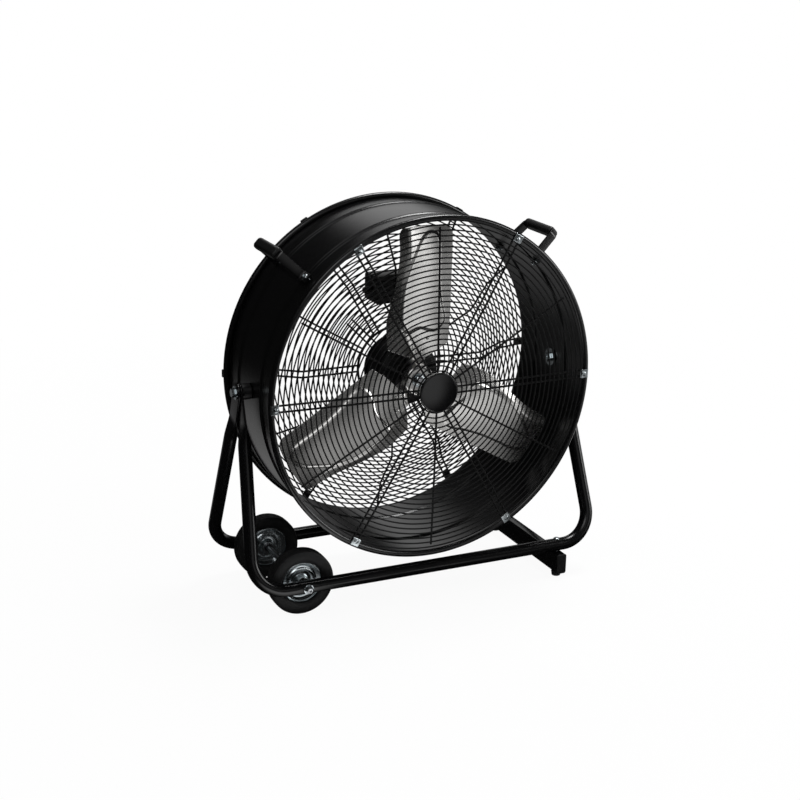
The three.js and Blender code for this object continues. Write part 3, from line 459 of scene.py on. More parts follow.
def moulded_plastic(tree, base, roughness, grain, depth):
    """Polypropylene moulded in a spark-eroded tool: an even dark colour under a fine pebbled skin."""
    shader, place = start_finish(tree, base, {"Roughness": roughness, "IOR": 1.49})
    pebble = add_node(tree, "TexNoise", {"Scale": per_metre(grain), "Detail": 4.0}, {"Vector": place})
    spread = add_node(tree, "MapRange", {"To Min": roughness * 0.85, "To Max": roughness * 1.2},
                      {"Value": (pebble, "Fac")})
    bump = add_node(tree, "Bump", {"Strength": 0.2, "Distance": depth}, {"Height": (pebble, "Fac")})
    link(tree, shader, {"Roughness": (spread, "Result"), "Normal": (bump, "Normal")})


def seen_directly(tree):
    """1 for camera, glossy and transmission rays, and 0 for the light that lands on the object."""
    path = add_node(tree, "LightPath")
    larger = {"operation": "MAXIMUM"}
    first = add_node(tree, "Math", larger, {0: (path, "Is Camera Ray"), 1: (path, "Is Glossy Ray")})
    return add_node(tree, "Math", larger, {0: (first, "Value"), 1: (path, "Is Transmission Ray")}), "Value"


def floor_paper(tree, base):
    """White paper, matt and even. The eye sees it near white, and it keeps the fan's soft shadow."""
    shader, place = start_finish(tree, base, {"Roughness": 0.9})
    tooth = add_node(tree, "TexNoise", {"Scale": per_metre(3), "Detail": 3.0}, {"Vector": place})
    bump = add_node(tree, "Bump", {"Strength": 0.05, "Distance": 0.0002}, {"Height": (tooth, "Fac")})
    link(tree, shader, {"Normal": (bump, "Normal")})
    white = add_node(tree, "Emission", {"Color": (1, 1, 1, 1), "Strength": 1.0})
    away = add_node(tree, "VectorMath", {"operation": "LENGTH"}, {0: place})
    paleness = add_node(tree, "MapRange", {"From Min": 0.5, "From Max": 2.0, "To Min": 0.94, "To Max": 1.0},
                        {"Value": (away, "Value")})
    terms = {0: seen_directly(tree), 1: (paleness, "Result")}
    share = add_node(tree, "Math", {"operation": "MULTIPLY"}, terms)
    sources = {0: (share, "Value"), 1: (shader, "BSDF"), 2: (white, "Emission")}
    both = add_node(tree, "MixShader", links=sources)
    link(tree, tree.nodes["Material Output"], {"Surface": (both, "Shader")})


# Each finish: its recipe, its colour, the record's material slot and the recipe's numbers.
FINISHES = {
    "gloss_powder_coat": (powder_coat, "drum", "drum_paint", 0.24, 0.1, 1.5),
    "semi_gloss_powder_coat": (powder_coat, "legs", "frame_paint", 0.2, 0.06, 1.4),
    "satin_motor_enamel": (powder_coat, "motor", "motor_paint", 0.45, 0.2, 1.4),
    "satin_wire_coat": (wire_coat, "wires", "guard_wire"),
    "bright_zinc_plate": (zinc_plate, "zinc", "zinc_plate"),
    "mill_finish_aluminium": (mill_aluminium, "blades", "blade_aluminium"),
    "turned_steel": (lathe_steel, "steel", "bright_steel"),
    "moulded_tyre_rubber": (moulded_rubber, "tyre", "tyre_rubber", 0.62, 1.0),
    "moulded_foot_rubber": (moulded_rubber, "feet", "foot_rubber", 0.7, 0.8),
    "closed_cell_foam": (foam_grip, "foam", "grip_foam"),
    "moulded_black_plastic": (moulded_plastic, "plastic", "black_plastic", 0.45, 0.9, 0.0001),
    "gloss_black_plastic": (moulded_plastic, "plastic", "black_plastic", 0.12, 6.0, 0.00002),
    "cable_jacket": (moulded_plastic, "lead", "lead_jacket", 0.5, 1.2, 0.0001),
    "floor_paper": (floor_paper, "floor", None),
}


def finish(name):
    """The named finish, made when it is first asked for."""
    ready = bpy.data.materials.get(name)
    if ready:
        return ready
    recipe, shade, _, *numbers = FINISHES[name]
    base = getattr(colours(), shade)
    material = bpy.data.materials.new(name)
    material.use_nodes = True
    material.node_tree.nodes.clear()
    recipe(material.node_tree, base, *numbers)
    material.diffuse_color = (*base, 1)
    return material


# ---------------------------------------------------------------- drum and guards


DRUM_RADIUS, DRUM_SHEET, RIM_ROLL = 318.0, 1.5, 6.0
SWAGE_PLACES, SWAGE_REACH = (-55, 60), 0.53
GUARD_START, GUARD_EDGE, GUARD_DOME, GUARD_SEAT = 40.0, 309.0, 8.0, 2.0
FRONT_WELD, REAR_WELD = 0.8, 1.4
PAIR = (-6, 6)
MOTOR_RING, MOTOR_RING_WIRE, BRACKET_WIRE = 77.0, 2.5, 1.8
# The rear guard's rim, shoulder, neck and motor ring, as (radius, depth).
REAR_PROFILE = ((319, 123.5), (309, 123.5), (263, 111.5), (191, 59.5), (MOTOR_RING, 59.5))
MIRROR = np.array([1, -1])


class DRUMFAN_OT_drum(bpy.types.Operator):
    """Rolled steel drum with two swages and curled rims"""

    bl_idname = "drum_fan.drum"
    bl_label = "Drum"

    def execute(self, context):
        height, width = sizes().bead_height / MM, sizes().bead_width / MM
        inner = DRUM_RADIUS - DRUM_SHEET
        centre = RIM_RADIUS - RIM_ROLL
        plain = np.linspace(-1, 1, 40) * (HALF_DEPTH - 2 * RIM_ROLL + 1)
        across = np.linspace(-SWAGE_REACH, SWAGE_REACH, 26) * width
        y = np.unique(np.round(np.concatenate([plain, *(across + place for place in SWAGE_PLACES)]), 3))
        swage = sum(height * smooth_step(1 - np.abs(y - place) / (width / 2)) for place in SWAGE_PLACES)
        start, end = (math.acos((radius - centre) / RIM_ROLL) for radius in (inner, DRUM_RADIUS))
        curl = arc((centre, HALF_DEPTH - RIM_ROLL), (RIM_ROLL, -RIM_ROLL), start, 2 * np.pi + end, 40)
        inside = np.stack([inner + swage, y], axis=1)
        outside = np.stack([DRUM_RADIUS + swage, y], axis=1)[::-1]
        shell = turned(np.vstack([inside, curl, outside, curl[::-1] * MIRROR]), 320, closed=True)
        make_piece("rolled_drum", [about_axis(shell, 0)], "gloss_powder_coat", "drum", "drum_shell",
                   sharp=60)
        return {"FINISHED"}


def front_depth(radius):
    """The front guard's dome: the edge's depth less the dome times one minus (radius over edge) squared."""
    return -HALF_DEPTH + GUARD_SEAT - GUARD_DOME * (1 - (radius / GUARD_EDGE) ** 2)


def rear_depth(radius):
    """The rear guard's dish: straight between the rim, the shoulder, the neck and the motor's ring."""
    places, depths = np.array(REAR_PROFILE)[::-1].T
    return np.interp(radius, places, depths)


def wire_ring(radius, depth, wire, sides=8):
    """A wire bent to a ring: a circle of the wire's radius carried round the drum's axis."""
    return about_axis(turned(circle(wire, sides) + np.array([radius, depth]), 144, closed=True), 0)


def radial_wires(run, degrees, wire, offsets=PAIR):
    """Wires out through (radius, depth) points at an angle, each moved sideways by an offset."""
    straight = swept(in_plane(run), (0, 0, 1), circle(wire, 8))
    return [about_axis(moved(straight, z=offset), degrees) for offset in offsets]


def all_radials(pair_run, single_run, wire):
    """Six pairs of radial wires with a single one between each two pairs."""
    skins = []
    for angle in SIX_AROUND:
        skins += radial_wires(pair_run, angle, wire) + radial_wires(single_run, angle + 30, wire, (0,))
    return skins


def make_guard(name, skins, *stands_for):
    """A guard in wire coat. Gloss doesn't see it, because its image in the blades is finer than a pixel."""
    make_piece(name, skins, "satin_wire_coat", "drum", *stands_for).visible_glossy = False


class DRUMFAN_OT_front_guard(bpy.types.Operator):
    """Front guard of welded wire rings with its radial wires"""

    bl_idname = "drum_fan.front_guard"
    bl_label = "Front Guard"

    def execute(self, context):
        size = sizes()
        wire, radial = size.wire / MM / 2, size.radial / MM / 2
        behind = wire + radial - FRONT_WELD
        rings = np.arange(GUARD_START, GUARD_EDGE + 2, size.ring_pitch / MM)
        skins = [wire_ring(radius, front_depth(radius), wire) for radius in rings]
        reach = np.linspace(GUARD_START - 4, DRUM_RADIUS, 24)
        run = np.stack([reach, front_depth(reach) + behind], axis=1)
        skins += all_radials(run, run[:-1], radial)
        middle = front_depth(GUARD_START)
        skins.append(about_axis(disc(GUARD_START - 3, middle - 1, middle + 1), 0))
        make_guard("front_wire_guard", skins, "front_guard")
        return {"FINISHED"}


class DRUMFAN_OT_rear_guard(bpy.types.Operator):
    """Rear guard of welded wire rings, dished in to the motor's ring"""

    bl_idname = "drum_fan.rear_guard"
    bl_label = "Rear Guard"

    def execute(self, context):
        size = sizes()
        wire, radial = size.wire / MM / 2, size.radial / MM / 2
        behind = wire + radial - REAR_WELD
        rings = np.arange(MOTOR_RING + 12, GUARD_EDGE + 2, size.ring_pitch / MM)
        skins = [wire_ring(radius, rear_depth(radius), wire) for radius in rings]
        skins.append(wire_ring(MOTOR_RING, rear_depth(MOTOR_RING), MOTOR_RING_WIRE, sides=12))
        run = rounded(np.array(REAR_PROFILE) + np.array([0, behind]), 8, 4)
        skins += all_radials(run, run, radial)
        bracket = [(135, rear_depth(135) + behind), (46, rear_depth(MOTOR_RING) + behind)]
        for angle in FOUR_AROUND:
            skins += radial_wires(bracket, angle, BRACKET_WIRE)
        outside, depth = RIM_RADIUS + 0.9, 126.6
        hook = rounded([(302, depth), (outside, depth), (outside, 119)], 2.5, 5)
        skins += turned_copies(swept(in_plane(hook), (0, 0, 1), rectangle(1.4, 14, 0.5)), SIX_AROUND)
        make_guard("rear_wire_guard", skins, "rear_guard_dish", "rear_guard_grille")
        return {"FINISHED"}


class DRUMFAN_OT_clips(bpy.types.Operator):
    """Six zinc clips that hold the front guard to the drum's rim, each with its screw"""

    bl_idname = "drum_fan.clips"
    bl_label = "Guard Clips"

    def execute(self, context):
        face, inner, outer, screw_place = -HALF_DEPTH - 1.3, 310, 324, 315
        path = rounded([(inner, face + 5), (inner, face), (outer, face), (outer + 1.5, face + 2)], 1.2, 4)
        plate = swept(in_plane(path), (0, 0, 1), rectangle(1.4, 17, 0.5))
        screw = moved(pan_head(3.6, face - 3.0, face - 0.6), x=screw_place)
        washer = moved(disc(4.6, face - 1.4, face - 0.6, 0.3, 24), x=screw_place)
        for number, angle in enumerate(SIX_AROUND, 1):
            skins = [about_axis(skin, angle) for skin in (plate, screw, washer)]
            make_piece(f"rim_clip_{number}", skins, "bright_zinc_plate", "drum", f"guard_clip_{number}",
                       sharp=50)
        return {"FINISHED"}


class DRUMFAN_OT_badge(bpy.types.Operator):
    """Dished disc in the middle of the front guard"""

    bl_idname = "drum_fan.badge"
    bl_label = "Badge"

    def execute(self, context):
        low, high = part_box("guard_badge")
        front, back = low[1], high[1]
        radius, lip_width, lip_round = 38.0, 3.4, 1.5
        share = np.linspace(0, 1, 16)
        depth = front + 0.9 + sizes().badge_dish / MM * (1 - share ** 2)
        bowl = np.stack([(radius - lip_width) * share, depth], axis=1)
        lip = arc((radius - lip_round, front + lip_round), lip_round, np.pi, 2 * np.pi, 9)
        profile = np.vstack([bowl, lip, [(radius, back - 0.5), (radius - 0.5, back), (0, back)]])
        make_piece("dished_badge", [about_axis(turned(profile, 128), 0)], "gloss_black_plastic", "drum",
                   "guard_badge", sharp=50)
        return {"FINISHED"}


# ---------------------------------------------------------------- blades, hub and motor


# A blade in its own frame: s runs out from the drum's axis, t to the leading side, and depth along Y. The
# leading edge, the crease and the trailing edge each have their t and their depth at five places along s.
BLADE_PLACES = (60, 120, 180, 240, 300)
BLADE_LEADING = ((66, 65, 63, 61, 59), (-33, -39, -42, -45, -45))
BLADE_CREASE = ((-24, -48, -51, -36, -38), (-65, -68, -71, -68, -62))
BLADE_TRAILING = ((-68, -75, -64, -54, -55), (-55, -59, -65, -61, -53))
BLADE_COURSES = (BLADE_LEADING, BLADE_CREASE, BLADE_TRAILING)
BLADE_TIP, BLADE_CORNER, BLADE_HALF, BLADE_BULGE = 296.0, 15.0, 58.0, 5.0
BLADE_ROOT, BLADE_ROOT_RISE, CREASE_SHARE = 43, 22, 0.72
BLADE_PANEL = (
    (98, -46), (96, -31), (100, -6), (91, 22), (92, 40), (106, 54), (123, 54), (142, 48), (166, 43),
    (194, 39), (227, 37), (257, 36), (277, 31), (286, 18), (284, 2), (272, -12), (252, -24), (226, -38),
    (197, -48), (168, -52), (137, -53), (113, -52),
)
BLADE_ANGLES = (89, 209, 329)
RIVET_PLACES = ((80, 16), (68, -22), (56, -2))


def blade_course(course, s):
    """A course's t and its depth at a place along s."""
    return eased(s, BLADE_PLACES, course[0]), eased(s, BLADE_PLACES, course[1])


def blade_depth(s, t):
    """Depth of a blade's sheet: a sine bulge from the leading edge to the crease, then a line to the other.

    The crease is rounded: the larger of the two, eased over a few millimetres.
    """
    (tl, yl), (tc, yc), (tt, yt) = (blade_course(course, s) for course in BLADE_COURSES)
    share = (tl - t) / (tl - tc)
    main = yl + (yc - yl) * share + BLADE_BULGE * np.sin(np.pi * np.clip(share, 0, 1.2))
    flange = yc + (yt - yc) * (tc - t) / (tc - tt)
    return (main + flange) / 2 + np.sqrt((main - flange) ** 2 / 4 + 1.2)


def distance_inside(points, outline):
    """How far points lie inside a closed outline, by its nearest edge. Outside is negative."""
    a, b = outline, np.roll(outline, -1, axis=0)
    edge = b - a
    gap = points[..., None, :] - a
    along = np.clip((gap * edge).sum(axis=-1) / (edge ** 2).sum(axis=-1), 0, 1)
    nearest = np.linalg.norm(gap - along[..., None] * edge, axis=-1).min(axis=-1)
    crosses = (a[:, 1] > points[..., 1:]) != (b[:, 1] > points[..., 1:])
    reach = a[:, 0] + edge[:, 0] * (points[..., 1:] - a[:, 1]) / np.where(edge[:, 1] == 0, 1e-9, edge[:, 1])
    inside = (crosses & (points[..., :1] < reach)).sum(axis=-1) % 2 == 1
    return np.where(inside, nearest, -nearest)


def smooth_outline(corners, count):
    """A closed curve through some corners, by the eased curve on their numbers."""
    corners = np.asarray(corners, float)
    wide = np.vstack([corners[-3:], corners, corners[:4]])
    number = np.arange(len(wide)) - 3
    at = np.linspace(0, len(corners), count, endpoint=False)
    return np.stack([eased(at, number, wide[:, 0]), eased(at, number, wide[:, 1])], axis=1)


def blade_sheet():
    """A blade's middle sheet on a grid: along from root to tip and across from leading to trailing edge."""
    size = sizes()
    even = np.linspace(0, 1, 150)
    across = 0.5 * (0.5 - 0.5 * np.cos(np.linspace(0, np.pi, 150))) + 0.5 * even
    side = (0.5 - across) * 2 * BLADE_HALF
    past = np.clip(np.abs(side) - (BLADE_HALF - BLADE_CORNER), 0, BLADE_CORNER)
    tip = np.sqrt(BLADE_TIP ** 2 - side ** 2) - BLADE_CORNER + np.sqrt(BLADE_CORNER ** 2 - past ** 2)
    root = BLADE_ROOT + BLADE_ROOT_RISE * (np.abs(side) / BLADE_HALF) ** 1.6
    s = root + (tip - root) * np.linspace(0, 1, 240)[:, None]
    tl, tc, tt = (blade_course(course, s)[0] for course in BLADE_COURSES)
    t = np.where(across < CREASE_SHARE, tl + (tc - tl) * across / CREASE_SHARE,
                 tc + (tt - tc) * (across - CREASE_SHARE) / (1 - CREASE_SHARE))
    inside = distance_inside(np.stack([s, t], axis=-1), smooth_outline(BLADE_PANEL, 120))
    pressed = size.emboss_height / MM * smooth_step(inside / (size.emboss_slope / MM))
    return np.stack([s, blade_depth(s, t) - pressed, -t], axis=-1)


class DRUMFAN_OT_blades(bpy.types.Operator):
    """Three pressed aluminium blades with their raised panels and rivets"""

    bl_idname = "drum_fan.blades"
    bl_label = "Blades"

    def execute(self, context):
        skin, look = grid(blade_sheet()), "mill_finish_aluminium"
        thickness = sizes().blade_thickness / MM
        rivets = []
        for s, t in RIVET_PLACES:
            front = float(blade_depth(np.array(float(s)), np.array(float(t)))) - thickness / 2
            rivets.append(moved(pan_head(4.2, front - 2, front + 0.6, socket=0.3), x=s, z=-t))
        for letter, angle in zip("abc", BLADE_ANGLES):
            heads = [about_axis(rivet, angle) for rivet in rivets]
            sheet = [about_axis(skin, angle)]
            make_piece(f"pressed_blade_{letter}", sheet, look, "rotor", f"blade_{letter}", wall=thickness)
            make_piece(f"blade_rivets_{letter}", heads, look, "rotor")
        return {"FINISHED"}


class DRUMFAN_OT_hub(bpy.types.Operator):
    """Fan hub with three arms behind the blades, the shaft and its nut"""

    bl_idname = "drum_fan.hub"
    bl_label = "Hub and Shaft"

    def execute(self, context):
        front, back, bore, rim = -58.0, -36.0, 7.3, 30.0
        seat = front + 8
        corners = [(bore, seat), (22, seat), (27, front + 1), (rim, front + 4), (rim, back), (bore, back)]
        boss = rounded(corners, 1.2, 4, closed=True)
        arm_places, end, count, gap, thick = (86.0, 80, 72, 64, 54, 44), 80, 21, 1.75, 3.0
        s, t = np.meshgrid(arm_places, np.linspace(-26, 14, count), indexing="ij")
        # The row past the arm's end is bent back at its sides, which makes the end round.
        s = np.where(s > end, s - 8 * (np.abs(t + 6) / 20) ** 3, s)
        neck = np.array([(24, back - 5, -across) for across in np.linspace(-14, 14, count)])
        top = np.concatenate([np.stack([s, blade_depth(s, t) + gap, -t], axis=-1), neck[None]])
        arm = lofted(np.concatenate([top, top[:, ::-1] + np.array([0, thick, 0])], axis=1))
        skins = [about_axis(turned(boss, 96, closed=True), 0)] + turned_copies(arm, BLADE_ANGLES)
        make_piece("cast_hub", skins, "mill_finish_aluminium", "rotor", "fan_hub")
        low, high = part_box("motor_shaft")
        shaft = disc(7, low[1], high[1], 1.0)
        make_piece("turned_shaft", [about_axis(shaft, 0)], "turned_steel", "rotor", "motor_shaft")
        low, high = part_box("hub_nut")
        nut = [hexagon(11, low[1], high[1] - 1.4), disc(13.5, high[1] - 1.5, high[1], 0.4, bore=bore)]
        make_piece("flanged_hub_nut", [about_axis(skin, 10) for skin in nut], "bright_zinc_plate", "rotor",
                   "hub_nut")
        return {"FINISHED"}


class DRUMFAN_OT_motor(bpy.types.Operator):
    """Motor body, its front end bell and the plate that holds it to the rear guard's ring"""

    bl_idname = "drum_fan.motor"
    bl_label = "Motor"

    def execute(self, context):
        low, high = part_box("motor_body")
        split, back, radius, bore = low[1], high[1], 62.0, 7.4
        body = rounded([(0, split), (radius, split), (radius, back), (0, back)], 5, 6)
        band = disc(radius + 1.6, split + 4, split + 9, 0.8, 128, bore=radius - 2)
        nut = moved(hexagon(4.5, back - 1, back + 2.2, 0.4), x=radius - 11)
        skins = [about_axis(turned(body, 128), 0), about_axis(band, 0)]
        skins += turned_copies(nut, (30, 120, 210, 300))
        make_piece("motor_can", skins, "satin_motor_enamel", "drum", "motor_body")
        low, high = part_box("motor_end_bell")
        front, face, back = low[1], low[1] + 8, high[1]
        bell = [(bore, back), (bore, front), (18, front), (21, face - 1), (52, face + 1), (60, face + 6),
                (radius, back - 3), (radius, back)]
        bell = np.vstack([rounded(bell, 2, 4), [(bore, back)]])
        rib = prism([(22, -1.2), (56, -1.2), (56, 1.2), (22, 1.2)], face - 3, face + 8, 0.4)
        head = moved(hexagon(4.5, face - 2.2, face + 4, 0.4), x=50)
        skins = [about_axis(turned(bell, 128), 0)] + turned_copies(rib, range(15, 375, 30))
        skins += turned_copies(head, FOUR_AROUND)
        make_piece("ribbed_end_bell", skins, "satin_motor_enamel", "drum", "motor_end_bell")
        low, high = part_box("motor_mount_plate")
        plate = [about_axis(disc(66, low[1], high[1], 0.6, 128, bore=22), 0)]
        bolt = moved(scaled(hexagon(5.5, -4, 0.5, 0.5), y=-1), x=55, y=high[1])
        plate += turned_copies(bolt, [angle + 18 for angle in FOUR_AROUND])
        make_piece("motor_plate", plate, "satin_motor_enamel", "drum", "motor_mount_plate")
        return {"FINISHED"}


# ---------------------------------------------------------------- frame


FRAME_HALF, FRAME_BEND, FRAME_SPREAD, TUBE_RADIUS = 358.4, 62.0, 122.0, 12.5
FLAT_LENGTH, FLARE_LENGTH, FLAT_HALF, FLAT_THICK = 58.0, 46.0, 18.0, 4.0
PIVOT_GAP, FRONT_FLAT = 0.3, 339.3
REAR_FLAT = FRONT_FLAT + FLAT_THICK + PIVOT_GAP
WHEEL_PLACE, WHEEL_RADIUS, WHEEL_HALF = -255, 62.5, 15.0


def leg_tube(side, end):
    """A tube bent to a U in a plane that leans to the tilt axis, with both ends pressed flat and rounded.

    A section is a slot: a circle of the half thickness whose two halves are drawn apart to the half width.
    Over the flare both go by a smooth step from the tube's radius to those of the flat.
    """
    up = np.array([0, -side * FRAME_SPREAD, AXIS_HEIGHT - TUBE_HEIGHT])
    reach = float(np.linalg.norm(up))
    up = up / reach
    bottom = np.array([0, side * FRAME_SPREAD, TUBE_HEIGHT])
    flat_start, flare_start = reach - FLAT_LENGTH, reach - FLAT_LENGTH - FLARE_LENGTH
    shoulder, top = np.array([end + 1.5, flare_start]), np.array([end, flat_start])
    bend = rounded([shoulder * (-1, 1), (-FRAME_HALF, 0), (FRAME_HALF, 0), shoulder], FRAME_BEND, 24)
    flare = shoulder + (top - shoulder) * np.linspace(0, 1, 16)[1:, None]
    tail = np.stack([np.full(20, end), np.linspace(flat_start, reach, 21)[1:]], axis=1)
    past_end = np.sin(np.linspace(0, np.pi / 2, 14))[1:]
    tongue = np.stack([np.full(13, end), reach + FLAT_HALF * past_end], axis=1)
    half = np.vstack([flare, tail, tongue])
    corner = len(bend) // 2
    crossing = np.linspace(bend[corner - 1], bend[corner], 90)[1:-1]
    flat = np.vstack([half[::-1] * (-1, 1), bend[:corner], crossing, bend[corner:], half])
    path = bottom + flat[:, :1] * np.array([1.0, 0, 0]) + flat[:, 1:] * up
    pressed = smooth_step(np.clip((flat[:, 1:] - flare_start) / FLARE_LENGTH, 0, 1))
    thick = TUBE_RADIUS + (FLAT_THICK / 2 - TUBE_RADIUS) * pressed
    wide = TUBE_RADIUS + (FLAT_HALF - TUBE_RADIUS) * pressed
    past = np.clip(flat[:, 1:] - reach, 0, FLAT_HALF)
    wide = np.maximum(np.minimum(wide, np.sqrt(np.maximum(FLAT_HALF ** 2 - past ** 2, 0))), thick)
    x, y = circle(1, 40).T
    section = np.stack([thick * x, thick * y + np.sign(y) * (wide - thick)], axis=-1)
    points, faces = swept(path, np.cross((1, 0, 0), up), section)
    # The tube is pressed a little flat round each end of the wheels' axle.
    away = (points[:, 0] - WHEEL_PLACE) ** 2 + (points[:, 2] - TUBE_HEIGHT) ** 2
    hollow = np.where(points[:, 2] < 100, 2.2 * np.exp(-(away / 95) ** 2), 0)
    points[:, 1] -= np.sign(points[:, 1] - side * FRAME_SPREAD) * hollow
    return points, faces


class DRUMFAN_OT_legs(bpy.types.Operator):
    """Front and rear U-shaped tubes with flattened ends"""

    bl_idname = "drum_fan.legs"
    bl_label = "Tube Legs"

    def execute(self, context):
        for name, side, end in (("front", -1, FRONT_FLAT), ("rear", 1, REAR_FLAT)):
            make_piece(f"bent_{name}_tube", [leg_tube(side, end)], "semi_gloss_powder_coat", "frame",
                       f"{name}_frame_tube", sharp=40)
        return {"FINISHED"}


class DRUMFAN_OT_pivots(bpy.types.Operator):
    """Pivot bolts, spacers, washers and nuts that let the drum tilt"""

    bl_idname = "drum_fan.pivots"
    bl_label = "Pivots"

    def execute(self, context):
        inner, hexes, bore = DRUM_RADIUS - 3.3, 9, 5.3
        spacer_end = FRONT_FLAT - FLAT_THICK / 2 - PIVOT_GAP
        outer = REAR_FLAT + FLAT_THICK / 2 + PIVOT_GAP
        shank = disc(5, inner - 13, outer + 1.1, 0.8, 32)
        screw = (hexagon(hexes, outer + 1.9, outer + 8.5), disc(13, outer, outer + 2.1), shank)
        spacer = (disc(15, DRUM_RADIUS + PIVOT_GAP, spacer_end, 1.5, 64, bore=bore),)
        washer = disc(18, inner - 2, inner, 0.5, 64, bore=bore)
        locknut = (washer, hexagon(hexes, inner - 10, inner - 1.7))
        for name, sign in (("left", -1), ("right", 1)):
            for kind, part, skins, look in (
                ("screw", "bolt", screw, "bright_zinc_plate"),
                ("spacer", "spacer", spacer, "moulded_black_plastic"),
                ("locknut", "nut", locknut, "bright_zinc_plate"),
            ):
                skins = [moved(scaled(along_x(skin), x=sign), z=AXIS_HEIGHT) for skin in skins]
                make_piece(f"pivot_{name}_{kind}", skins, look, "drum", f"pivot_{part}_{name}")
        return {"FINISHED"}


class DRUMFAN_OT_foot_bar(bpy.types.Operator):
    """Cross bar under the tubes with its end plugs, rubber feet and bolts"""

    bl_idname = "drum_fan.foot_bar"
    bl_label = "Foot Bar"

    def execute(self, context):
        low, high = part_box("foot_bar")
        middle, size = (low + high) / 2, high - low
        corner, lip = 3.5, 0.3
        outer = rectangle(size[0], size[2], corner, 6) + middle[[0, 2]]
        bar = lofted([np.insert(outer, 1, end, axis=1) for end in (low[1], high[1])])
        make_piece("cross_bar", [bar], "semi_gloss_powder_coat", "frame", "foot_bar")
        face = rectangle(size[0] + 2 * lip, size[2] + 2 * lip, corner + lip, 6) + middle[[0, 2]]
        for name, side in (("front", -1), ("rear", 1)):
            low, high = part_box(f"bar_plug_{name}")
            ends = sorted((middle[1] + side * (size[1] / 2 + 0.2), low[1] if side < 0 else high[1]))
            make_piece(f"bar_{name}_end_plug", [prism(face, *ends, 0.9)], "moulded_black_plastic", "frame",
                       f"bar_plug_{name}")
            low, high = part_box(f"rubber_foot_{name}")
            centre, height = (low + high) / 2, high[2]
            profile = rounded([(0, 0), (8.6, 0), (9.5, height - 2.5), (9.5, height), (0, height)], 0.8, 4)
            ring = disc(9.9, height - 2.6, height - 1.4, 0.3, bore=9)
            foot = [moved(along_z(skin), x=centre[0], y=centre[1]) for skin in (turned(profile, 64), ring)]
            make_piece(f"foot_{name}", foot, "moulded_foot_rubber", "frame", f"rubber_foot_{name}")
            low, high = part_box(f"bar_bolt_{name}")
            centre, radius, rise = (low + high) / 2, 6, 2.6
            seat = high[2] - 1.4 - rise
            dome = arc((0, seat), (radius, rise), np.pi / 2, 0, 8)
            bolt = turned(np.vstack([dome, [(4, seat), (4, low[2]), (0, low[2])]]), 32)
            make_piece(f"coach_bolt_{name}", [moved(along_z(bolt), x=centre[0], y=centre[1])],
                       "bright_zinc_plate", "frame", f"bar_bolt_{name}")
        return {"FINISHED"}


def tyre_profile(groove):
    """A tyre's outline: a crown that falls at its shoulders less a steep bell per groove, then walls."""
    across = np.linspace(-1, 1, 65)
    crown = WHEEL_RADIUS - 0.5 * across ** 2 - 7 * np.clip((np.abs(across) - 0.72) / 0.28, 0, 1) ** 2.4
    grooves = sum(np.exp(-(across * WHEEL_HALF - place) ** 4) for place in (-6.5, 0, 6.5))
    tread = np.stack([crown - groove * grooves, across * WHEEL_HALF], axis=1)
    wall = np.array([(50, 0), (46, -0.4), (42, -2.5), (39.9, -5)]) + (0, WHEEL_HALF)
    return np.vstack([tread, wall, wall[::-1] * MIRROR])


def rim_profile():
    """A pressed rim's outline from the hub to the rolled lip, and back on the other side."""
    web = rounded([(8, 15), (12, 15), (15, 4), (21, 3.5), (23, 5.4), (26.5, 5.4), (28.5, 3.5), (31.5, 3.5),
                   (36.5, 8.5), (39.4, 8.5)], 0.9, 4)
    face = np.vstack([web[:-1], arc((38, 8.8), (1.5, 1.3), -np.pi / 2, np.pi / 2, 7)])
    return np.vstack([face, face[::-1] * MIRROR])


class DRUMFAN_OT_wheels(bpy.types.Operator):
    """Two rubber wheels with dished zinc rims, their bushes, axle and nuts"""

    bl_idname = "drum_fan.wheels"
    bl_label = "Wheels"

    def execute(self, context):
        tyre = turned(tyre_profile(sizes().tread_depth / MM), 128, closed=True)
        rim = turned(rim_profile(), 128, closed=True)
        bush = disc(7.7, -15.6, 15.6, 0.6, bore=5.2)
        for name, side in (("front", -1), ("rear", 1)):
            low, high = part_box(f"tyre_{name}")
            x, y, _ = (low + high) / 2
            for piece, skin, look, part in (
                ("rubber_tyre", tyre, "moulded_tyre_rubber", "tyre"),
                ("dished_rim", rim, "bright_zinc_plate", "wheel_rim"),
                ("hub_bush", bush, "moulded_black_plastic", "wheel_bush"),
            ):
                make_piece(f"{piece}_{name}", [moved(skin, x=x, y=y, z=TUBE_HEIGHT)], look, f"{name}_wheel",
                           f"{part}_{name}", sharp=38 if skin is bush else 50)
            low, high = part_box(f"axle_nut_{name}")
            inner, tall = (high if side < 0 else low)[1], high[1] - low[1]
            ring = [(5.1, 1.2), (8.1, 1.2), (9, 2), (9, tall - 2.8), (5.7, tall - 0.3), (5.1, tall - 0.8)]
            nut = [turned(ring, 6, closed=True), disc(9.6, -1.6, 1.3, 0.4)]
            nut = [moved(scaled(skin, y=side), x=x, y=inner, z=TUBE_HEIGHT) for skin in nut]
            make_piece(f"axle_{name}_nut", nut, "bright_zinc_plate", "frame", f"axle_nut_{name}")
        low, high = part_box("wheel_axle")
        # An end is drilled, with a flat ring round the hole.
        end = np.array([(0, 5), (2.5, 5), (3.0, 2.3), (3.4, 2), (4.5, 2), (5, 2.6)])
        ends = np.vstack([end + (0, low[1]), (end * MIRROR + (0, high[1]))[::-1]])
        make_piece("turned_axle", [moved(turned(ends, 48), x=(low[0] + high[0]) / 2, z=TUBE_HEIGHT)],
                   "turned_steel", "frame", "wheel_axle")
        return {"FINISHED"}


# ---------------------------------------------------------------- handles and switch


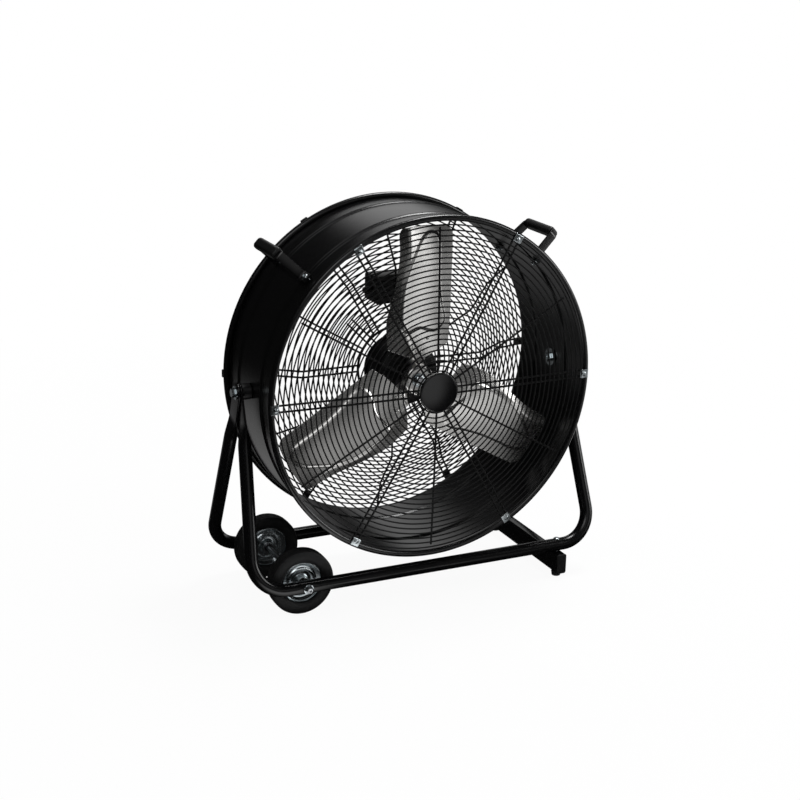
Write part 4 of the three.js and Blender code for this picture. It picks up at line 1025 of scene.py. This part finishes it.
class DRUMFAN_OT_handles(bpy.types.Operator):
    """Two strap handles with foam grips, each with two bolts through the drum"""

    bl_idname = "drum_fan.handles"
    bl_label = "Handles"

    def execute(self, context):
        seat, rise, place = 323.3, 60.0, 4.0
        foot, lean, foot_length, bolt_place = 60.0, 8.0, 22.0, 71
        half = [(seat, -foot - foot_length), (seat, -foot), (seat + rise, -foot + lean)]
        path = rounded(half + [(out, -along) for out, along in half[::-1]], 7, 8) + np.array([0, place])
        strap = swept(in_plane(path), (0, 0, 1), rectangle(4, 17, 0.9))
        grip_half, end_round = 47.5, 5
        ends = grip_half - np.array([0, 0.5, 1.5, 2.5])
        y = np.concatenate([-ends, np.linspace(-43, 43, 41), ends[::-1]])
        past = np.clip(np.abs(y) - grip_half + end_round, 0, end_round)[:, None] / end_round
        share = np.sqrt(1 - past ** 2)
        outline = rectangle(17, 22.6, 7, 8)
        grip = lofted(np.stack([seat + rise + outline[:, 0] * (0.72 + 0.28 * share),
                                (y + place)[:, None] + 0 * outline[:, 0],
                                outline[:, 1] * (0.86 + 0.14 * share)], axis=-1))
        head = moved(along_x(scaled(pan_head(6.6, -3.4, 0), y=-1)), x=seat + 2.0)
        inner = DRUM_RADIUS - 3.1
        shank = disc(4, inner - 8.4, seat + 3, 0.6, 24)
        nut, washer = hexagon(7, inner - 5.5, inner - 1), disc(9, inner - 1.6, inner, 0.3, 32)
        bolt = [head] + [along_x(skin) for skin in (shank, nut, washer)]
        for name, angle in (("right", 43), ("left", 137)):
            make_piece(f"bent_{name}_strap", [about_axis(strap, angle)], "gloss_powder_coat", "drum",
                       f"handle_strap_{name}", sharp=35)
            make_piece(f"foam_{name}_grip", [about_axis(grip, angle)], "closed_cell_foam", "drum",
                       f"handle_grip_{name}", sharp=50)
            for end, side in (("front", -bolt_place), ("rear", bolt_place)):
                skins = [about_axis(moved(skin, y=place + side), angle) for skin in bolt]
                make_piece(f"strap_bolt_{name}_{end}", skins, "bright_zinc_plate", "drum",
                           f"handle_bolt_{name}_{end}")
        return {"FINISHED"}


class DRUMFAN_OT_switch_box(bpy.types.Operator):
    """Switch box behind the rear guard with its lid, speed knob and gland"""

    bl_idname = "drum_fan.switch_box"
    bl_label = "Switch Box"

    def execute(self, context):
        look = "moulded_black_plastic"
        low, high = part_box("switch_box")
        middle, size = (low + high) / 2, high - low
        face = rectangle(size[0], size[2], 5, 6) + middle[[0, 2]]
        make_piece("switch_case", [prism(face, low[1], high[1], 1.2)], look, "drum", "switch_box",
                   "rotary_switch", "run_capacitor")
        low, high = part_box("switch_box_lid")
        lid_face = high[1]
        lid = [prism(face, low[1], lid_face, 0.8)]
        screw = scaled(pan_head(3, -1.4, 0.4), y=-1)
        across, up = size[0] / 2 - 7, size[2] / 2 - 7
        for x, z in ((-across, -up), (-across, up), (across, -up), (across, up)):
            lid.append(moved(screw, x=middle[0] + x, y=lid_face, z=middle[2] + z))
        make_piece("switch_case_lid", lid, look, "drum", "switch_box_lid")
        low, high = part_box("speed_knob")
        centre, base = (low + high) / 2, lid_face + 0.3
        angle = np.linspace(0, 2 * np.pi, 96, endpoint=False)
        flutes = 17 - 0.5 * (0.5 + 0.5 * np.cos(18 * angle))
        round_knob = np.stack([flutes * np.cos(angle), 0 * angle, flutes * np.sin(angle)], axis=1)
        rows = [round_knob * (share, 0, share) + (0, base + rise, 0)
                for rise, share in ((0, 0.98), (0.6, 1), (2.4, 1), (3, 0.96))]
        wing = prism(rectangle(11, 31, 5, 12), base + 2, high[1], 1.4)
        knob = [lofted(rows), wing, disc(3, low[1], base + 1, 0.3, 24)]
        make_piece("fluted_knob", [moved(skin, x=centre[0], z=centre[2]) for skin in knob], look, "knob",
                   "speed_knob")
        low, high = part_box("lead_gland")
        centre, reach, bore = (low + high) / 2, float(high[0] - low[0]), 3.5
        cap = [(bore, 5), (7.2, 5), (7.2, 8), (6.8, reach - 5), (5.6, reach - 1), (bore, reach)]
        gland = [moved(scaled(along_x(skin), x=-1), x=high[0], y=centre[1], z=centre[2])
                 for skin in (hexagon(8, 0, 6, 0.6), turned(cap, 48, closed=True))]
        make_piece("cable_gland", gland, look, "drum", "lead_gland")
        return {"FINISHED"}


class DRUMFAN_OT_lead(bpy.types.Operator):
    """The motor's short lead, from the switch box's floor to the back of the motor"""

    bl_idname = "drum_fan.lead"
    bl_label = "Motor Lead"

    def execute(self, context):
        bottom = float(part_box("switch_box")[0][2])
        back = float(part_box("motor_body")[1][1])
        route = np.array([
            (20, 88.5, bottom + 1), (20, 88.5, bottom - 14), (28, 89.5, bottom - 40),
            (26, 86.5, AXIS_HEIGHT + 50), (16, 82.5, AXIS_HEIGHT + 22), (6, back + 16, AXIS_HEIGHT + 8),
            (4, back + 6, AXIS_HEIGHT + 6), (4, back + 0.3, AXIS_HEIGHT + 6),
        ])
        far = np.concatenate([[0], np.cumsum(np.linalg.norm(np.diff(route, axis=0), axis=1))])
        at = np.linspace(0, far[-1], 80)
        path = np.stack([eased(at, far, route[:, i]) for i in range(3)], axis=1)
        tangent = unit(np.gradient(path, axis=0))
        side = unit(np.cross(tangent, (0.9, 0.1, 0.2)))
        other = np.cross(tangent, side)
        section = circle(3.5, 16)
        rows = path[:, None] + side[:, None] * section[:, :1] + other[:, None] * section[:, 1:]
        make_piece("lead_to_motor", [lofted(rows)], "cable_jacket", "drum", "motor_lead")
        return {"FINISHED"}


# ---------------------------------------------------------------- stage


# The camera's bearing, height and roll in degrees, the point that it looks at and its lens in millimetres,
# and its distance from that point in metres.
CAMERA_ANGLES = (-25.4038, 17.6111, 1.2532)
CAMERA_TARGET = (-14.2267, 0, 360.0439)
CAMERA_LENS, CAMERA_DISTANCE = 71.295, 3.0347554
# Each lamp's name, place in metres, power in watts and size in metres. All face the middle of the fan.
LAMPS = (("overhead", (0.9, 0.3, 2.9), 45, 0.9), ("right_front", (3.2, -2.2, 2.2), 30, 1.2))
LAMP_AIM = (0, 0, 0.4)
# What gloss sees round the fan, as painted reflections that light nothing: each painted soft box's bearing
# from +X, height, half width and brightness. The last one is painted shade: it takes glow away, as a black
# flag would.
PAINTED_REFLECTION_BOXES = (
    (-31, -10, 17, 1.2), (-37, 10, 18, 0.3), (-77, -46, 28, 0.45), (-84, 14, 22, 0.47), (68, 21, 19, 0.84),
    (124, -32, 24, 0.31), (70, -24, 24, 0.14), (-118, 41, 20, 2.6), (-25, 10, 13, 7.0),
    (-60, -18, 15, 0.62), (110, 58, 26, 0.5), (-107, -48, 13, 1.6), (-137, -46, 15, 2.2),
    (-72, -40, 10, 1.5), (22, -16, 34, 1.2), (-69, -69, 20, -0.9),
)
SURROUND_GLOW, SURROUND_RADIUS, SURROUND_LIFT = 0.012, 8, 0.003


def toward(bearing, height):
    """The direction at a bearing from +X and a height, both in degrees."""
    bearing, height = math.radians(bearing), math.radians(height)
    level = math.cos(height)
    return np.array([level * math.cos(bearing), level * math.sin(bearing), math.sin(height)])


def add_to_scene(name, data):
    thing = bpy.data.objects.new(name, data)
    bpy.context.scene.collection.objects.link(thing)
    return thing


def stage_mesh(name, points, faces, material):
    """A mesh of the stage, with its material."""
    mesh = bpy.data.meshes.new(name)
    mesh.from_pydata(points.tolist(), [], faces)
    mesh.materials.append(material)
    thing = add_to_scene(name, mesh)
    return thing


def add_camera():
    """The camera by its bearing, height, distance and roll about the point that it looks at."""
    bearing, height, roll = (math.radians(angle) for angle in CAMERA_ANGLES)
    level = math.cos(height)
    back = Vector((math.sin(bearing) * level, -math.cos(bearing) * level, math.sin(height)))
    right = (-back).cross(Vector((0, 0, 1))).normalized()
    up = right.cross(-back)
    turned_right = right * math.cos(roll) + up * math.sin(roll)
    turned_up = up * math.cos(roll) - right * math.sin(roll)
    data = bpy.data.cameras.new("camera")
    data.sensor_width = 36
    data.lens = CAMERA_LENS
    data.clip_end = 200
    place = Matrix((turned_right, turned_up, back)).transposed().to_4x4()
    place.translation = Vector(CAMERA_TARGET) * MM + back * CAMERA_DISTANCE
    camera = add_to_scene("camera", data)
    camera.matrix_world = place
    bpy.context.scene.camera = camera


def add_lamp(name, place, power, size):
    """A square soft lamp at a place that faces the middle of the fan."""
    data = bpy.data.lights.new(name, "AREA")
    data.energy = power
    data.size = size
    lamp = add_to_scene(name, data)
    lamp.location = place
    lamp.rotation_euler = (Vector(LAMP_AIM) - Vector(place)).to_track_quat("-Z", "Y").to_euler()


def add_surround():
    """A dome and a floor that glow faintly, with brighter soft boxes on them, for gloss only: painted
    reflections that light nothing.

    The glow of a point is the dome's own faint glow and, for each box, its brightness times a smooth step
    of 1.5 less 1.5 times the angle between the point and the box over the box's half width.
    """
    reach = np.linspace(0.05, SURROUND_RADIUS, 90)
    flat = np.stack([reach ** 2 / SURROUND_RADIUS, 0 * reach + SURROUND_LIFT], axis=1)
    dome = arc((0, SURROUND_LIFT), SURROUND_RADIUS, 0, np.pi / 2, 46)
    outline = np.vstack([flat, dome[1:-1], [(0.01, SURROUND_RADIUS)]])
    turn = np.linspace(0, 2 * np.pi, 180, endpoint=False)
    out, up = outline[:, :1], outline[:, 1:]
    skin = np.stack([out * np.cos(turn), out * np.sin(turn), up + 0 * turn], axis=-1)
    points, faces = grid(skin, wrap_columns=True)
    seen = unit(points - np.array([0, 0, AXIS_HEIGHT * MM]))
    glow = np.full(len(points), SURROUND_GLOW)
    for bearing, height, half, light in PAINTED_REFLECTION_BOXES:
        apart = np.degrees(np.arccos(np.clip(seen @ toward(bearing, height), -1, 1)))
        glow += light * smooth_step(1.5 - 1.5 * apart / half)
    glow = np.maximum(glow, SURROUND_GLOW / 4)
    # The painted reflections: an emission that only gloss sees, with painted shade where a box's brightness
    # is below zero.
    painted_dome = bpy.data.materials.new("painted_reflections")
    painted_dome.use_nodes = True
    tree = painted_dome.node_tree
    tree.nodes.clear()
    light = add_node(tree, "Attribute", {"attribute_name": "glow"})
    shine = add_node(tree, "Emission", {"Color": (1, 1, 1, 1)}, {"Strength": (light, "Fac")})
    add_node(tree, "OutputMaterial", links={"Surface": (shine, "Emission")})
    surround = stage_mesh("surround", points, faces, painted_dome)
    values = surround.data.attributes.new("glow", "FLOAT", "POINT").data
    values.foreach_set("value", glow.astype(np.float32))
    for ray in ("camera", "diffuse", "shadow", "transmission"):
        setattr(surround, f"visible_{ray}", False)


def add_world():
    """A white room: fully bright where the eye or gloss sees it, and 0.55 of that in the light it gives."""
    world = bpy.data.worlds.new("pale_room")
    bpy.context.scene.world = world
    world.use_nodes = True
    tree = world.node_tree
    tree.nodes.clear()
    strength = add_node(tree, "MapRange", {"To Min": 0.55, "To Max": 1.0}, {"Value": seen_directly(tree)})
    room = add_node(tree, "Background", {"Color": (1, 1, 1, 1)}, {"Strength": (strength, "Result")})
    add_node(tree, "OutputWorld", links={"Surface": (room, "Background")})


class DRUMFAN_OT_stage(bpy.types.Operator):
    """Pale floor, soft lamps, world and camera"""

    bl_idname = "drum_fan.stage"
    bl_label = "Stage"

    def execute(self, context):
        context.scene.view_settings.view_transform = "Standard"
        add_camera()
        radius, sides = sizes().floor, 128
        angle = np.linspace(0, 2 * np.pi, sides, endpoint=False)
        round_floor = np.stack([radius * np.cos(angle), radius * np.sin(angle), 0 * angle], axis=1)
        stage_mesh("floor", round_floor, [list(range(sides))], finish("floor_paper"))
        add_world()
        for name, place, power, size in LAMPS:
            add_lamp(name, place, power, size)
        add_surround()
        return {"FINISHED"}


# ---------------------------------------------------------------- panel


STEPS = (
    DRUMFAN_OT_stage, DRUMFAN_OT_drum, DRUMFAN_OT_front_guard, DRUMFAN_OT_rear_guard, DRUMFAN_OT_clips,
    DRUMFAN_OT_badge, DRUMFAN_OT_blades, DRUMFAN_OT_hub, DRUMFAN_OT_motor, DRUMFAN_OT_legs,
    DRUMFAN_OT_pivots, DRUMFAN_OT_foot_bar, DRUMFAN_OT_wheels, DRUMFAN_OT_handles,
    DRUMFAN_OT_switch_box, DRUMFAN_OT_lead,
)


class DRUMFAN_PT_panel(bpy.types.Panel):
    """Sizes, colours and steps of the drum fan"""

    bl_idname = "DRUMFAN_PT_panel"
    bl_label = "Drum Fan"
    bl_space_type = "VIEW_3D"
    bl_region_type = "UI"
    bl_category = "Drum Fan"

    def draw(self, context):
        for settings in (context.scene.drum_fan_sizes, context.scene.drum_fan_colours):
            column = self.layout.column(align=True)
            for name in settings.__annotations__:
                column.prop(settings, name)
        column = self.layout.column(align=True)
        for step in STEPS:
            column.operator(step.bl_idname)


CLASSES = (DrumFanSizes, DrumFanColours, *STEPS, DRUMFAN_PT_panel)


def register():
    for each in CLASSES:
        bpy.utils.register_class(each)
    bpy.types.Scene.drum_fan_sizes = bpy.props.PointerProperty(type=DrumFanSizes)
    bpy.types.Scene.drum_fan_colours = bpy.props.PointerProperty(type=DrumFanColours)


def unregister():
    del bpy.types.Scene.drum_fan_colours
    del bpy.types.Scene.drum_fan_sizes
    for each in reversed(CLASSES):
        bpy.utils.unregister_class(each)


def main():
    register()
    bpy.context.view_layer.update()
    for step in STEPS:
        group, name = step.bl_idname.split(".")
        getattr(getattr(bpy.ops, group), name)()
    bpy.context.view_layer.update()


if __name__ == "__main__":
    main()
